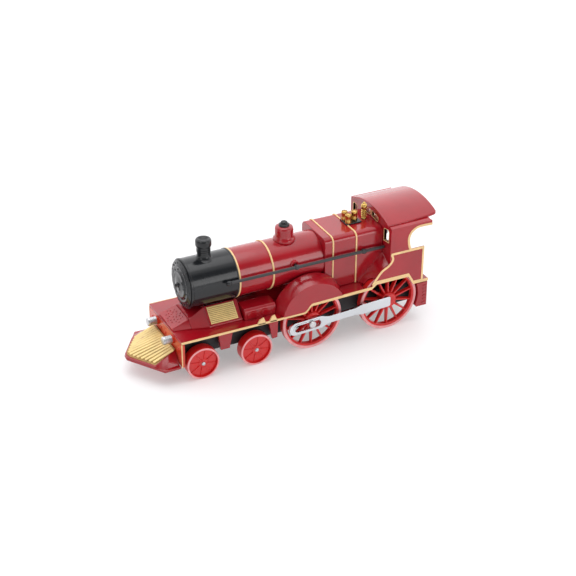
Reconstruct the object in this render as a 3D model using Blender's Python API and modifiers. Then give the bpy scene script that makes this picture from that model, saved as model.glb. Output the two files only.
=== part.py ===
"""Toy tender-less steam locomotive, 4-4-0, with a pull-back spring motor.

Frame: +X forward (pilot), +Y to the left side, +Z up, origin under the middle on the ground.
Every length below is in millimetres, and MM turns it into Blender's metres.
"""
import math

import bmesh
import bpy
from mathutils import Euler, Matrix, Vector

MM = 0.001
GAP = 0.3                      # air left between neighbouring solids

# Running gear
DRIVER_R = 19.45               # driving wheel tread radius
DRIVER_X = (-12.23, -64.11)    # front and rear driving axle
DRIVER_IN, DRIVER_OUT = 19.0, 23.6   # inner and outer side of the driving wheel rim
SPOKES = 14
BOGIE_R = 10.1
BOGIE_X = (59.56, 25.56)
BOGIE_IN, BOGIE_OUT = 19.7, 26.3
AXLE_R = 1.2
AXLE_HOLE_R = 1.29             # running fit in the underframe
CRANK = (2.1, -0.6)            # crank pin from the axle, X and Z, at rest
ROD_IN, ROD_OUT = 25.3, 27.3   # coupling rod, inner and outer side
ROD_SLOPE = -0.0483            # the rod's own set, nose down
ROD_Z_AT = (-60.0, 20.6)       # one point on the rod's centreline

# Running plate
HALF_W = 24.9                  # running plate half width
PLATE_FRONT_X, PLATE_REAR_X = 72.2, -90.9
LOW_Z, LOW_T = 25.4, 1.2       # front level underside and thickness
HIGH_T = 1.7                   # rear level thickness
EDGE_T = 0.9                   # strip left outside the wheel slots
STEP_X = (-6.4, -11.7)         # the S-shaped step between the levels
HIGH_Z = (29.6, 30.6)          # rear level underside at its front and rear end
ARCH_Z = 33.3                  # underside over the rear driving wheel
TAIL_Z = 27.3                  # underside behind the rear driving wheel

# Boiler line
BOILER_Z, BOILER_R = 50.1, 14.5
SMOKE_R, SMOKE_X = 14.77, (31.1, 60.6)
BARREL_X = (-24.0, 30.8)
CHIMNEY_X, DOME_X = 46.7, -4.8
FIREBOX_X, FIREBOX_W, FIREBOX_TOP = (-24.3, -63.1), 15.2, 65.7
RAIL_Y, RAIL_Z, RAIL_R = 17.3, 53.6, 0.85

# Cab
CAB_X = -63.4                  # front face of the cab
CAB_WALL = 1.6
CAB_REAR_X = -86.9
EAVES_Z, BELT_Z = 68.6, 52.2
ROOF_R, ROOF_CROWN, ROOF_T = 52.0, 74.6, 1.5

# Underframe and motor
FRAME_W, FRAME_Z = 17.5, (12.4, 25.0)
MOTOR_Z = (14.2, 32.1)
GEAR_M = 0.6                   # gear module
PINION_T, WHEEL_T = 10, 24     # teeth
MESH = GEAR_M * (PINION_T + WHEEL_T) / 2
MESH_ANGLE = math.radians(21)  # first gear pair's centre line above the level
COMPOUND = (DRIVER_X[1] + MESH * math.cos(MESH_ANGLE),
            DRIVER_R + MESH * math.sin(MESH_ANGLE))
ARBOR = (COMPOUND[0] + MESH, COMPOUND[1])


# ---------------------------------------------------------------- scene and materials
for old in list(bpy.data.objects):
    bpy.data.objects.remove(old, do_unlink=True)
PARTS = bpy.data.collections.new("toy_locomotive")
CUTTERS = bpy.data.collections.new("cutters")
for group in (PARTS, CUTTERS):
    bpy.context.scene.collection.children.link(group)


def material(name, colour, roughness, metallic=0.0):
    made = bpy.data.materials.new(name)
    made.use_nodes = True
    shader = made.node_tree.nodes["Principled BSDF"]
    shader.inputs["Base Color"].default_value = (*colour, 1.0)
    shader.inputs["Roughness"].default_value = roughness
    shader.inputs["Metallic"].default_value = metallic
    made.diffuse_color = (*colour, 1.0)
    return made


RED = material("red_enamel", (0.42, 0.012, 0.018), 0.22)
BLACK = material("black_gloss", (0.02, 0.021, 0.024), 0.25)
GOLD = material("gold_paint", (0.72, 0.49, 0.20), 0.38, 0.35)
BRASS = material("brass", (0.70, 0.47, 0.16), 0.25, 1.0)
SILVER = material("plated_silver", (0.78, 0.80, 0.82), 0.22, 1.0)
STEEL = material("steel", (0.55, 0.55, 0.56), 0.3, 1.0)
WHEEL_RED = material("red_plastic", (0.62, 0.03, 0.03), 0.35)
RAIL_GREY = material("grey_plastic", (0.09, 0.09, 0.10), 0.45)
FRAME_BLACK = material("black_plastic", (0.03, 0.03, 0.032), 0.5)
NYLON = material("white_nylon", (0.80, 0.79, 0.74), 0.5)


# ---------------------------------------------------------------- modelling helpers
def finish(obj, paint, smooth_angle=35.0):
    """Link a mesh object, paint it and shade its round faces smooth."""
    mesh = obj.data
    mesh.materials.clear()
    mesh.materials.append(paint)
    mesh.shade_smooth()
    mesh.set_sharp_from_angle(angle=math.radians(smooth_angle))
    if not obj.users_collection:
        PARTS.objects.link(obj)
    return obj


def tool(obj):
    """Make an object an operand of a Boolean, which is no part of the model."""
    for group in list(obj.users_collection):
        group.objects.unlink(obj)
    CUTTERS.objects.link(obj)
    obj.hide_render = True
    obj.display_type = "WIRE"
    return obj


def boolean(target, operand, operation):
    step = target.modifiers.new(operand.name, "BOOLEAN")
    step.operation = operation
    step.solver = "EXACT"
    step.object = tool(operand)
    return target


def cut(target, *operands):
    for operand in operands:
        boolean(target, operand, "DIFFERENCE")
    return target


def join(target, *operands):
    for operand in operands:
        boolean(target, operand, "UNION")
    return target


def box(name, low, high, paint=RED):
    """Block between two corners."""
    size = [(b - a) * MM for a, b in zip(low, high)]
    middle = [(a + b) / 2 * MM for a, b in zip(low, high)]
    mesh = bpy.data.meshes.new(name)
    shape = bmesh.new()
    bmesh.ops.create_cube(shape, size=1.0)
    bmesh.ops.scale(shape, vec=size, verts=shape.verts)
    shape.to_mesh(mesh)
    shape.free()
    obj = bpy.data.objects.new(name, mesh)
    obj.location = middle
    return finish(obj, paint)


# An outline's plane and depth direction: local x, y and z in world directions.
PLANES = {
    "X": Matrix(((0, 0, 1), (1, 0, 0), (0, 1, 0))).to_4x4(),     # outline in Y, Z
    "Y": Matrix(((1, 0, 0), (0, 0, -1), (0, 1, 0))).to_4x4(),    # outline in X, Z
    "Z": Matrix.Identity(4),                                     # outline in X, Y
}


def prism(name, loops, axis, low, high, paint=RED):
    """Flat outline, its later loops being holes, extruded along one axis from low to high."""
    curve = bpy.data.curves.new(name, "CURVE")
    curve.dimensions = "2D"
    curve.fill_mode = "BOTH"
    curve.extrude = (high - low) / 2 * MM
    for loop in loops:
        spline = curve.splines.new("POLY")
        spline.points.add(len(loop) - 1)
        for point, (a, b) in zip(spline.points, loop):
            point.co = (a * MM, b * MM, 0.0, 1.0)
        spline.use_cyclic_u = True
    guide = bpy.data.objects.new(name + "_outline", curve)
    middle = Vector([(low + high) / 2 * MM if a == axis else 0.0 for a in "XYZ"])
    guide.matrix_world = Matrix.Translation(middle) @ PLANES[axis]
    bpy.context.scene.collection.objects.link(guide)
    depsgraph = bpy.context.evaluated_depsgraph_get()
    mesh = bpy.data.meshes.new_from_object(guide.evaluated_get(depsgraph))
    mesh.name = name
    shape = bmesh.new()
    shape.from_mesh(mesh)
    bmesh.ops.remove_doubles(shape, verts=shape.verts, dist=1e-6)
    bmesh.ops.recalc_face_normals(shape, faces=shape.faces)
    shape.to_mesh(mesh)
    shape.free()
    obj = bpy.data.objects.new(name, mesh)
    obj.matrix_world = guide.matrix_world
    bpy.data.objects.remove(guide, do_unlink=True)
    return finish(obj, paint)


TURNS = {
    "Z": Euler((0, 0, 0)),
    "X": Euler((0, math.radians(90), 0)),
    "+Y": Euler((math.radians(-90), 0, 0)),
    "-Y": Euler((math.radians(90), 0, 0)),
}


def turned(name, profile, axis, centre, paint, steps=40, ring=False, spin=0.0):
    """Profile of (radius, height) points, listed down its outer side, turned about an axis.

    A ring profile is closed on itself; any other starts and ends on the axis.
    """
    mesh = bpy.data.meshes.new(name)
    points = [(r * MM, 0.0, h * MM) for r, h in profile]
    edges = [(i, i + 1) for i in range(len(points) - 1)]
    if ring:
        edges.append((len(points) - 1, 0))
    mesh.from_pydata(points, edges, [])
    obj = bpy.data.objects.new(name, mesh)
    obj.location = [c * MM for c in centre]
    obj.rotation_euler = TURNS[axis]
    obj.rotation_euler.rotate_axis("Z", spin)
    screw = obj.modifiers.new("turn", "SCREW")
    screw.steps = steps
    screw.render_steps = steps
    screw.use_merge_vertices = True
    screw.merge_threshold = 0.00001
    screw.use_smooth_shade = True
    mesh.materials.append(paint)
    PARTS.objects.link(obj)
    return obj


def rod_along(name, axis, centre, radius, low, high, paint, steps=12):
    """Plain round bar along an axis, between two distances from its centre."""
    profile = [(0, high), (radius, high), (radius, low), (0, low)]
    return turned(name, profile, axis, centre, paint, steps)


def arc(centre, radius, start, end, count):
    """Points along an arc, its angles in degrees."""
    points = []
    for i in range(count + 1):
        angle = math.radians(start + (end - start) * i / count)
        points.append((centre[0] + radius * math.cos(angle), centre[1] + radius * math.sin(angle)))
    return points


def mirror_y(points):
    return [(-a, b) for a, b in reversed(points)]


def tapered(name, stations, paint=RED):
    """Skin between symmetrical or one-sided (y, z) outlines standing at each x."""
    shape = bmesh.new()
    rows = [[shape.verts.new(Vector((x, y, z)) * MM) for y, z in outline]
            for x, outline in stations]
    count = len(rows[0])
    for a, b in zip(rows, rows[1:]):
        for j in range(count):
            k = (j + 1) % count
            shape.faces.new((a[j], a[k], b[k], b[j]))
    shape.faces.new(rows[0])
    shape.faces.new(reversed(rows[-1]))
    bmesh.ops.triangulate(shape, faces=shape.faces)
    bmesh.ops.recalc_face_normals(shape, faces=shape.faces)
    mesh = bpy.data.meshes.new(name)
    shape.to_mesh(mesh)
    shape.free()
    return finish(bpy.data.objects.new(name, mesh), paint)


def pivot(name, x, y, z):
    """Empty on a joint's axis, to which the moving pieces are parented."""
    empty = bpy.data.objects.new(name, None)
    empty.location = (x * MM, y * MM, z * MM)
    empty.empty_display_size = 0.005
    bpy.context.scene.collection.objects.link(empty)
    return empty


def carry(empty, *pieces):
    for piece in pieces:
        piece.parent = empty
        piece.matrix_parent_inverse = Matrix.Translation(-empty.location)


SIDES = (("left", 1), ("right", -1))


def span(side, inner, outer):
    """Low and high Y of something on one side."""
    return (inner, outer) if side > 0 else (-outer, -inner)


# ---------------------------------------------------------------- running plate and front
def plate_low():
    """Underside of the running plate, front to rear, as (x, z) points."""
    front, rear = STEP_X
    points = [(PLATE_FRONT_X, LOW_Z)]
    for i in range(6):
        t = i / 5
        rise = (1 - math.cos(math.pi * t)) / 2
        points.append((front + (rear - front) * t, LOW_Z + (HIGH_Z[0] - LOW_Z) * rise))
    points += [(-51.4, HIGH_Z[1]), (-54.8, ARCH_Z), (-76.6, ARCH_Z), (-80.2, TAIL_Z),
               (PLATE_REAR_X, TAIL_Z)]
    return points


def plate_top(x, clear=0.0):
    """Height of the plate's top at x."""
    points = [(a, b + (LOW_T if a > STEP_X[0] - 0.1 else HIGH_T)) for a, b in plate_low()]
    for (xa, za), (xb, zb) in zip(points, points[1:]):
        if xb <= x <= xa:
            return za + (zb - za) * (xa - x) / (xa - xb) + clear
    return points[-1][1] + clear


def running_plate():
    low = plate_low()
    outline = low + [(x, plate_top(x)) for x, z in reversed(low)]
    plate = prism("running_plate", [outline], "Y", -HALF_W, HALF_W)
    lug_front = [(24.2, 26.0), (24.2, 26.8), (22.9, 28.9), (20.3, 29.9), (19.1, 26.8), (19.1, 26.0)]
    lug_rear = [(16.5, 26.0), (16.5, 26.8), (15.2, 29.2), (13.2, 30.0), (11.9, 26.8), (11.9, 26.0)]
    for word, side in SIDES:
        y0, y1 = span(side, HALF_W - EDGE_T, HALF_W)
        join(plate, prism("lug_front_" + word, [lug_front], "Y", y0, y1))
        join(plate, prism("lug_rear_" + word, [lug_rear], "Y", y0, y1))
        y0, y1 = span(side, 18.0, HALF_W - EDGE_T)
        cut(plate, box("slot_front_" + word, (-32.6, y0, 20), (8.4, y1, 40)))
        cut(plate, box("slot_rear_" + word, (-83.4, y0, 20), (-46.8, y1, 40)))
        y0, y1 = span(side, 20.4, 22.6)
        front = [(48.4, LOW_Z + 0.5), (38.9, LOW_Z + 0.5), (41.3, 13.9), (46.9, 13.9)]
        rear = [(16.6, LOW_Z + 0.5), (9.9, LOW_Z + 0.5), (10.5, 12.9), (13.8, 12.6)]
        join(plate, prism("bracket_front_" + word, [front], "Y", y0, y1))
        join(plate, prism("bracket_rear_" + word, [rear], "Y", y0, y1))
    step = [(72.0, 26.0), (72.0, 28.2), (61.6, 31.5), (61.3, 31.5), (61.3, 26.0)]
    join(plate, prism("front_step", [step], "Y", -10.2, 10.2))
    for word, side in SIDES:
        flank = [(61.4, [(9.0, 26.1), (9.0, 31.3), (13.6, 27.4), (13.6, 26.1)]),
                 (71.4, [(9.9, 26.1), (9.9, 28.1), (10.9, 26.9), (10.9, 26.1)])]
        flank = [(x, [(side * y, z) for y, z in rim]) for x, rim in flank]
        join(plate, tapered("flank_" + word, flank))
    cut(plate, box("motor_opening", (-61, -10, 20), (-32, 10, 40)))
    for i, x in enumerate(SCREW_X):
        top = plate_top(x) - 0.6
        post = [(0, top), (2.6, top), (2.6, 14.3), (1.3, 14.3), (1.3, 24.0), (0, 24.0)]
        join(plate, turned(f"post_{i}", post, "Z", (x, 0, 0), RED, 10))
    return plate


SCREW_X = (44.0, 8.0, -76.0)


def screws():
    """Self-tapping screws from below into the plate's posts."""
    profile = [(0, 23.0), (0.9, 23.0), (0.9, 12.1), (2.1, 12.1), (2.1, 11.0), (0, 11.0)]
    for i, x in enumerate(SCREW_X):
        turned(f"body_screw_{i + 1}", profile, "Z", (x, 0, 0), STEEL, 10)


def buffer_beam():
    box("buffer_beam", (70.2, -24.8, 9.9), (PLATE_FRONT_X, 24.8, LOW_Z - GAP))
    profile = [(0, 6.8), (2.9, 6.6), (2.9, 5.2), (2.3, 5.0), (2.3, 4.0), (2.9, 3.8),
               (2.9, 2.6), (2.3, 2.4), (2.3, 0.3), (0, 0.3)]
    for word, side in SIDES:
        turned("buffer_" + word, profile, "X", (PLATE_FRONT_X, side * 11.8, 22.6), SILVER, 18)


PILOT_BEAM_Y, PILOT_BEAM_Z = 15.3, 17.6
PILOT_SIDE = (86.2, 17.3, 11.3)
PILOT_TIP = (96.9, 1.8, 12.0)


def pilot_front(y):
    """Where the sloping plate ends at y: its x and z."""
    share = (abs(y) - PILOT_TIP[1]) / (PILOT_SIDE[1] - PILOT_TIP[1])
    share = max(0.0, min(1.0, share))
    return (PILOT_TIP[0] + (PILOT_SIDE[0] - PILOT_TIP[0]) * share,
            PILOT_TIP[2] + (PILOT_SIDE[2] - PILOT_TIP[2]) * share)


def pilot_loft(name, top_drop, thickness, floor_z, x_back, shrink, paint):
    """Sloping body between the beam and the pilot's nose, ruled along X in strips."""
    strips = 12
    shape = bmesh.new()
    rows = []
    for i in range(strips + 1):
        share = 2 * i / strips - 1
        y_back = share * (PILOT_BEAM_Y - shrink)
        y_front = share * (PILOT_SIDE[1] - shrink)
        x_front, z_front = pilot_front(y_front)
        back = Vector((x_back, y_back, PILOT_BEAM_Z - top_drop))
        front = Vector((x_front - shrink, y_front, z_front - top_drop))
        low_back = Vector((back.x, back.y, floor_z if floor_z else back.z - thickness))
        low_front = Vector((front.x, front.y, floor_z if floor_z else front.z - thickness))
        rows.append([shape.verts.new(p * MM) for p in (back, front, low_front, low_back)])
    for a, b in zip(rows, rows[1:]):
        for j in range(4):
            k = (j + 1) % 4
            shape.faces.new((a[j], a[k], b[k], b[j]))
    shape.faces.new(rows[0])
    shape.faces.new(reversed(rows[-1]))
    bmesh.ops.recalc_face_normals(shape, faces=shape.faces)
    mesh = bpy.data.meshes.new(name)
    shape.to_mesh(mesh)
    shape.free()
    return finish(bpy.data.objects.new(name, mesh), paint)


def pilot():
    base = [(PLATE_FRONT_X + GAP, -24.0), (82.7, -24.3), (97.4, -1.9), (97.4, 1.9), (82.7, 24.3),
            (PLATE_FRONT_X + GAP, 24.0)]
    frame = prism("pilot_frame", [base], "Z", 9.0, 10.2)
    join(frame, pilot_loft("pilot_wedge", 1.5, 0, 9.5, PLATE_FRONT_X + GAP, 0.0, RED))
    ply = pilot_loft("pilot_plate", 0.0, 0.8, 0, PLATE_FRONT_X + GAP, 0.9, GOLD)
    for i in range(12):
        y = (i - 5.5) * 2.3
        x_front, z_front = pilot_front(y)
        run, drop = x_front - 2.2 - 75.0, z_front - PILOT_BEAM_Z
        angle = math.atan2(-drop, x_front - PLATE_FRONT_X)
        rib = box(f"pilot_rib_{i}", (-run / 2, -0.45, -0.4), (run / 2, 0.45, 0.5), GOLD)
        middle = (75.0 + run / 2, y, PILOT_BEAM_Z + drop * (75.0 + run / 2 - 72.5) / (x_front - 72.5))
        rib.matrix_world = (Matrix.Translation(Vector(middle) * MM)
                            @ Matrix.Rotation(angle, 4, "Y"))
        join(ply, rib)


def saddle():
    """Smokebox saddle with sloping sides, and the gold grille let into each side."""
    foot = LOW_Z + LOW_T + GAP
    half = [(0.0, 34.9), (5.0, 35.5), (8.6, 37.0), (17.2, 27.9), (17.2, foot)]
    outline = half + [(-y, z) for y, z in reversed(half[1:])]
    body = prism("smokebox_saddle", [outline], "X", 30.4, 51.2)
    nose = [(50.9, [(0.0, 34.85), (5.0, 35.4), (8.5, 36.85), (17.1, 27.85), (17.1, foot + 0.05)]),
            (61.0, [(0.0, 34.2), (5.0, 33.9), (9.5, 31.4), (13.7, 27.5), (13.7, foot + 0.05)])]
    nose = [(x, rim + [(-y, z) for y, z in reversed(rim[1:])]) for x, rim in nose]
    join(body, tapered("saddle_nose", nose))
    lean = math.atan2(37.0 - 27.9, 17.2 - 8.6)
    for word, side in SIDES:
        x0, x1 = 32.8, 50.2
        middle = Vector(((x0 + x1) / 2, 12.6, 32.77))
        turn = Matrix.Rotation(-lean, 4, "X")
        if side < 0:
            middle.y = -middle.y
            turn = Matrix.Rotation(lean, 4, "X")
        place = Matrix.Translation(middle * MM) @ turn
        pocket = box("pocket_" + word, (-8.9, -5.2, -0.6), (8.9, 5.2, 1.5))
        pocket.matrix_world = place
        cut(body, pocket)
        grille = box("grille_" + word, (-8.6, -4.9, -0.3), (8.6, 4.9, 0.25), GOLD)
        grille.matrix_world = place
        for i in range(9):
            y = (i - 4) * 1.08
            slat = box(f"slat_{word}_{i}", (-8.3, y - 0.3, 0.0), (8.3, y + 0.3, 0.55), GOLD)
            slat.matrix_world = place
            join(grille, slat)


def cylinder_blocks():
    foot = LOW_Z + LOW_T + GAP
    for word, side in SIDES:
        half = [(9.0, foot), (18.4, foot), (18.4, 33.0), (17.4, 34.0), (9.0, 34.6)]
        outline = half if side > 0 else mirror_y(half)
        prism("cylinder_block_" + word, [outline], "X", 9.6, 29.6)


def front_splashers():
    centre, radius = (-13.0, 23.0), 20.9
    for word, side in SIDES:
        feet = [(x, plate_top(x, GAP)) for x in (-32.0, -11.7, -10.0, -9.05, -8.1, -6.4)]
        start = math.degrees(math.asin((plate_top(0, GAP) - centre[1]) / radius))
        end = 180 - math.degrees(math.asin((plate_top(-32, GAP) - centre[1]) / radius))
        outline = arc(centre, radius, start, end, 16) + feet
        y0, y1 = span(side, 16.0, HALF_W)
        guard = prism("splasher_" + word, [outline], "Y", y0, y1)
        y0, y1 = span(side, 18.2, HALF_W - EDGE_T)
        wheel = (DRIVER_X[0], 0, DRIVER_R)
        cut(guard, rod_along("splasher_well_" + word, "+Y", wheel, 20.2, y0, y1, RED, 32))


def rear_steps():
    """Beam across the rear with a step block and its treads at each end."""
    beam = box("rear_steps", (-90.5, -20.0, 13.6), (-88.3, 20.0, TAIL_Z - GAP - 0.1))
    block = [(-90.6, TAIL_Z - GAP), (-90.6, 10.4), (-83.4, 10.4)]
    block += arc((DRIVER_X[1], DRIVER_R), 20.7, 203, 159, 5)
    for word, side in SIDES:
        y0, y1 = span(side, 19.6, HALF_W)
        join(beam, prism("rear_step_" + word, [block], "Y", y0, y1))
        y0, y1 = span(side, HALF_W - 0.5, HALF_W + 0.5)
        for i in range(5):
            z = 13.2 + 2.5 * i
            join(beam, box(f"tread_{word}_{i}", (-89.9, y0, z), (-87.3, y1, z + 0.9)))


# ---------------------------------------------------------------- boiler line
def boiler():
    middle = (0, 0, BOILER_Z)
    rim = SMOKE_R + 0.25
    x0, x1 = SMOKE_X
    smoke = [(13.0, x1), (rim, x1), (rim, x1 - 1.5), (SMOKE_R, x1 - 1.5), (SMOKE_R, x0), (13.0, x0)]
    turned("smokebox", smoke, "X", middle, BLACK, 32, ring=True)
    x0, x1 = BARREL_X
    band_r = BOILER_R + 0.5
    tube = [(12.8, x1), (band_r, x1), (band_r, x1 - 1.0), (BOILER_R, x1 - 1.0), (BOILER_R, 9.3),
            (band_r, 9.3), (band_r, 8.4), (BOILER_R, 8.4), (BOILER_R, x0), (12.8, x0)]
    turned("boiler_barrel", tube, "X", middle, RED, 32, ring=True)
    front = SMOKE_X[1] + GAP
    hub = front + 2.5
    plate = [(0, hub), (3.0, front + 2.4), (7.2, front + 1.9), (9.8, front + 0.9),
             (13.9, front + 0.9), (13.9, front), (0, front)]
    door = turned("smokebox_door", plate, "X", middle, BLACK, 28)
    join(door, rod_along("door_boss", "X", middle, 1.1, hub - 1.0, hub + 2.0, BLACK, 10))
    join(door, box("door_handle", (hub + 0.8, -0.5, BOILER_Z - 4.6),
                   (hub + 1.6, 0.5, BOILER_Z), BLACK))


def chimney():
    profile = [(0, 68.5), (2.5, 68.5), (2.9, 76.3), (3.6, 76.3), (4.8, 74.2), (4.8, 72.0),
               (3.8, 70.8), (3.7, 66.6), (4.6, 65.0), (6.2, 64.0), (6.2, 61.0), (0, 61.0)]
    stack = turned("chimney", profile, "Z", (CHIMNEY_X, 0, 0), BLACK, 20)
    saddle_of(stack, SMOKE_R)


def saddle_of(piece, radius):
    """Cut a piece's foot to sit round the boiler line."""
    line = (0, 0, BOILER_Z)
    cut(piece, rod_along(piece.name + "_seat", "X", line, radius + GAP, -80, 80, RED, 32))


def dome():
    profile = [(0, 73.1), (2.9, 73.1), (4.6, 72.4), (5.3, 71.0), (5.2, 67.6), (6.5, 65.4),
               (6.7, 61.0), (0, 61.0)]
    saddle_of(turned("steam_dome", profile, "Z", (DOME_X, 0, 0), RED, 22), BOILER_R)
    cap = [(0, 76.3), (1.7, 76.3), (2.6, 75.5), (2.6, 74.6), (3.2, 74.3), (3.2, 73.4), (0, 73.4)]
    turned("dome_cap", cap, "Z", (DOME_X, 0, 0), BLACK, 16)


def firebox_arch(grow):
    """Half of the firebox section, foot to crown, as (y, z) points."""
    side, top = FIREBOX_W + grow, FIREBOX_TOP + grow
    return [(side, 32.6), (side, top - 3.6), (side - 0.6, top - 1.7), (side - 2.0, top - 0.5),
            (side - 4.2, top)]


def firebox():
    outer = firebox_arch(0.0)
    x0, x1 = FIREBOX_X
    shell = prism("firebox", [outer + mirror_y(outer)], "X", x1, x0)
    inner = firebox_arch(-1.6)
    inner[0] = (inner[0][0], 30.0)
    cut(shell, prism("firebox_inside", [inner + mirror_y(inner)], "X", x1 - 2, x0 - 1.6))
    cut(shell, box("firebox_heel", (x1 - 1, -20, 30), (-50.9, 20, ARCH_Z + HIGH_T + GAP)))
    low, high = firebox_arch(-0.8), firebox_arch(0.5)
    low[0], high[0] = (low[0][0], 33.2), (high[0][0], 33.2)
    for i, x in enumerate((-29.6, -45.2)):
        ring = high + mirror_y(high) + list(reversed(low + mirror_y(low)))
        join(shell, prism(f"firebox_band_{i + 1}", [ring], "X", x - 0.45, x + 0.45))


def handrails():
    for word, side in SIDES:
        profile = [(0, 40.2), (RAIL_R, 40.2), (RAIL_R, -62.9), (0, -62.9)]
        rail = turned("handrail_" + word, profile, "X", (0, side * RAIL_Y, RAIL_Z), RAIL_GREY, 10)
        for i, x in enumerate((38.7, -4.8, -49.5)):
            foot = 15.5 if x < FIREBOX_X[0] else math.sqrt(SMOKE_R ** 2 - 3.5 ** 2) + GAP
            knob = [(0, 1.5), (1.5, 0.6), (1.5, -0.6), (0.7, -1.6), (0.7, foot - RAIL_Y),
                    (0, foot - RAIL_Y)]
            axis = "+Y" if side > 0 else "-Y"
            centre = (x, side * RAIL_Y, RAIL_Z)
            join(rail, turned(f"knob_{word}_{i}", knob, axis, centre, RAIL_GREY, 8))


def valves():
    top = FIREBOX_TOP + GAP
    valves = box("safety_valves", (-55.9, -4.9, top), (-43.9, 4.9, top + 0.9), BRASS)
    seat = top + 0.5
    valve = [(0, seat + 6.0), (1.5, seat + 6.0), (1.9, seat + 5.5), (1.9, seat), (0, seat)]
    for i, (x, y) in enumerate(((-46.4, 2.4), (-46.4, -2.4), (-51.8, 0.0))):
        join(valves, turned(f"safety_valve_{i + 1}", valve, "Z", (x, y, 0), BRASS, 12))
    cut(valves, box("band_groove", (-46.0, -6, top - 1), (-44.4, 6, top + 0.55)))
    rings = [(0, top + 10.8), (0.8, top + 10.6), (0.9, top + 9.6), (1.9, top + 8.8),
             (1.9, top + 6.2), (1.1, top + 5.8), (1.7, top + 5.2), (1.7, top + 4.4),
             (1.1, top + 3.9), (1.7, top + 3.3), (1.5, top), (0, top)]
    turned("whistle", rings, "Z", (-58.4, 0, 0), BRASS, 12)


# ---------------------------------------------------------------- cab
def roof_z(y, radius=ROOF_R, crown=ROOF_CROWN):
    return crown - radius + math.sqrt(radius * radius - y * y)


def cab():
    edge = HALF_W - EDGE_T
    foot = plate_top(-60, GAP) + 0.1
    outline = [(-edge, foot), (edge, foot), (edge, EAVES_Z), (20, 77), (-20, 77), (-edge, EAVES_Z)]
    windows = []
    for side in (1, -1):
        outer = [(16.4, 57.8), (21.9, 58.5), (21.9, 65.3), (20.6, 66.2), (16.9, 65.6), (16.4, 65.2)]
        inner = [(1.2, 66.9), (7.6, 66.1), (8.6, 67.0), (8.4, 68.6), (7.6, 69.4), (1.2, 70.3)]
        windows += [[(side * y, z) for y, z in hole] for hole in (outer, inner)]
    body = prism("cab_body", [outline] + windows, "X", CAB_X - CAB_WALL, CAB_X)
    for word, side in SIDES:
        y0, y1 = span(side, edge, HALF_W)
        join(body, prism("cab_side_" + word, [cab_side()], "Y", y0, y1))
        y0, y1 = span(side, 15.6, edge + 0.3)
        join(body, prism("rear_splasher_" + word, [rear_splasher()], "Y", y0, y1))
        y0, y1 = span(side, 19.6, edge + 0.3)
        ledge = (CAB_X - CAB_WALL + 0.5, y1, EAVES_Z - 0.2)
        join(body, box("cornice_" + word, (-91.6, y0, 66.9), ledge))
    cut(body, roof_space())
    for word, side in SIDES:
        y0, y1 = span(side, 18.2, edge - 0.02)
        wheel = (DRIVER_X[1], 0, DRIVER_R)
        cut(body, rod_along("cab_well_" + word, "+Y", wheel, 19.95, y0, y1, RED, 32))
    return body


def cab_side():
    """Side sheet with its swept front edge, low wing, rear cut-out and cornice end."""
    lead = [(-52.4, plate_top(-52.4, GAP)), (-54.7, 37.2), (-58.6, 41.8), (-62.6, 44.3),
            (CAB_X + 0.1, 46.5), (CAB_X + 0.1, EAVES_Z)]
    rear = [(-91.6, EAVES_Z), (-91.6, 65.9), (-85.7, 66.1), (-81.5, 65.8), (-78.8, 64.7),
            (-76.8, 63.2), (-75.5, 60.2), (-75.6, 56.7), (-76.4, 53.6), (-77.4, BELT_Z + 0.6),
            (CAB_REAR_X, BELT_Z + 0.6), (CAB_REAR_X, TAIL_Z + HIGH_T + GAP),
            (-80.4, TAIL_Z + HIGH_T + GAP), (-76.9, plate_top(-76.6, GAP)),
            (-55.0, plate_top(-55, GAP))]
    return lead + rear


def rear_splasher():
    """Cover over the rear driving wheel, from the plate up round the wheel."""
    centre = (DRIVER_X[1], DRIVER_R)
    outline = arc(centre, 20.95, 39.5, 66, 4)
    outline += [(-58.8, 41.5), (-62.7, 44.0), (CAB_X - CAB_WALL + 0.2, 44.0)]
    outline += arc(centre, 20.95, 96, 139, 5)
    heel = [(x, plate_top(x, GAP) + 0.05) for x in (-79.9, -76.7, -54.7, -51.4, -48.0)]
    return outline + heel


def roof_trim(name, side, grow):
    """Everything outside one side of the roof's tapered plan, as a block."""
    plan = [(-60.0, 23.95), (-91.0, 20.7), (-96.6, 19.9), (-98.0, 17.5), (-104.0, 17.5),
            (-104.0, 40.0), (-60.0, 40.0)]
    plan = [(x, side * (y + grow)) for x, y in plan]
    return prism(name, [plan], "Z", 60, 90)


def roof_space():
    """Room the roof takes from the cab below it, with the usual gap."""
    ys = [30 * (1 - i / 8) for i in range(17)]
    under = ROOF_T + GAP
    arch = [(y, roof_z(y, ROOF_R - under, ROOF_CROWN - under)) for y in ys]
    space = prism("roof_space", [arch + [(-30, 85), (30, 85)]], "X", -102, CAB_X + 2)
    for word, side in SIDES:
        cut(space, roof_trim("roof_space_trim_" + word, side, 0.2))
    return space


def roof():
    ys = [24.0 * (1 - i / 8) for i in range(17)]
    top = [(y, roof_z(y)) for y in ys]
    low = [(y, roof_z(y, ROOF_R - ROOF_T, ROOF_CROWN - ROOF_T)) for y in reversed(ys)]
    shell = prism("cab_roof", [top + low], "X", -97.4, CAB_X + 0.8)
    for word, side in SIDES:
        cut(shell, roof_trim("roof_trim_" + word, side, 0.0))


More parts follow.
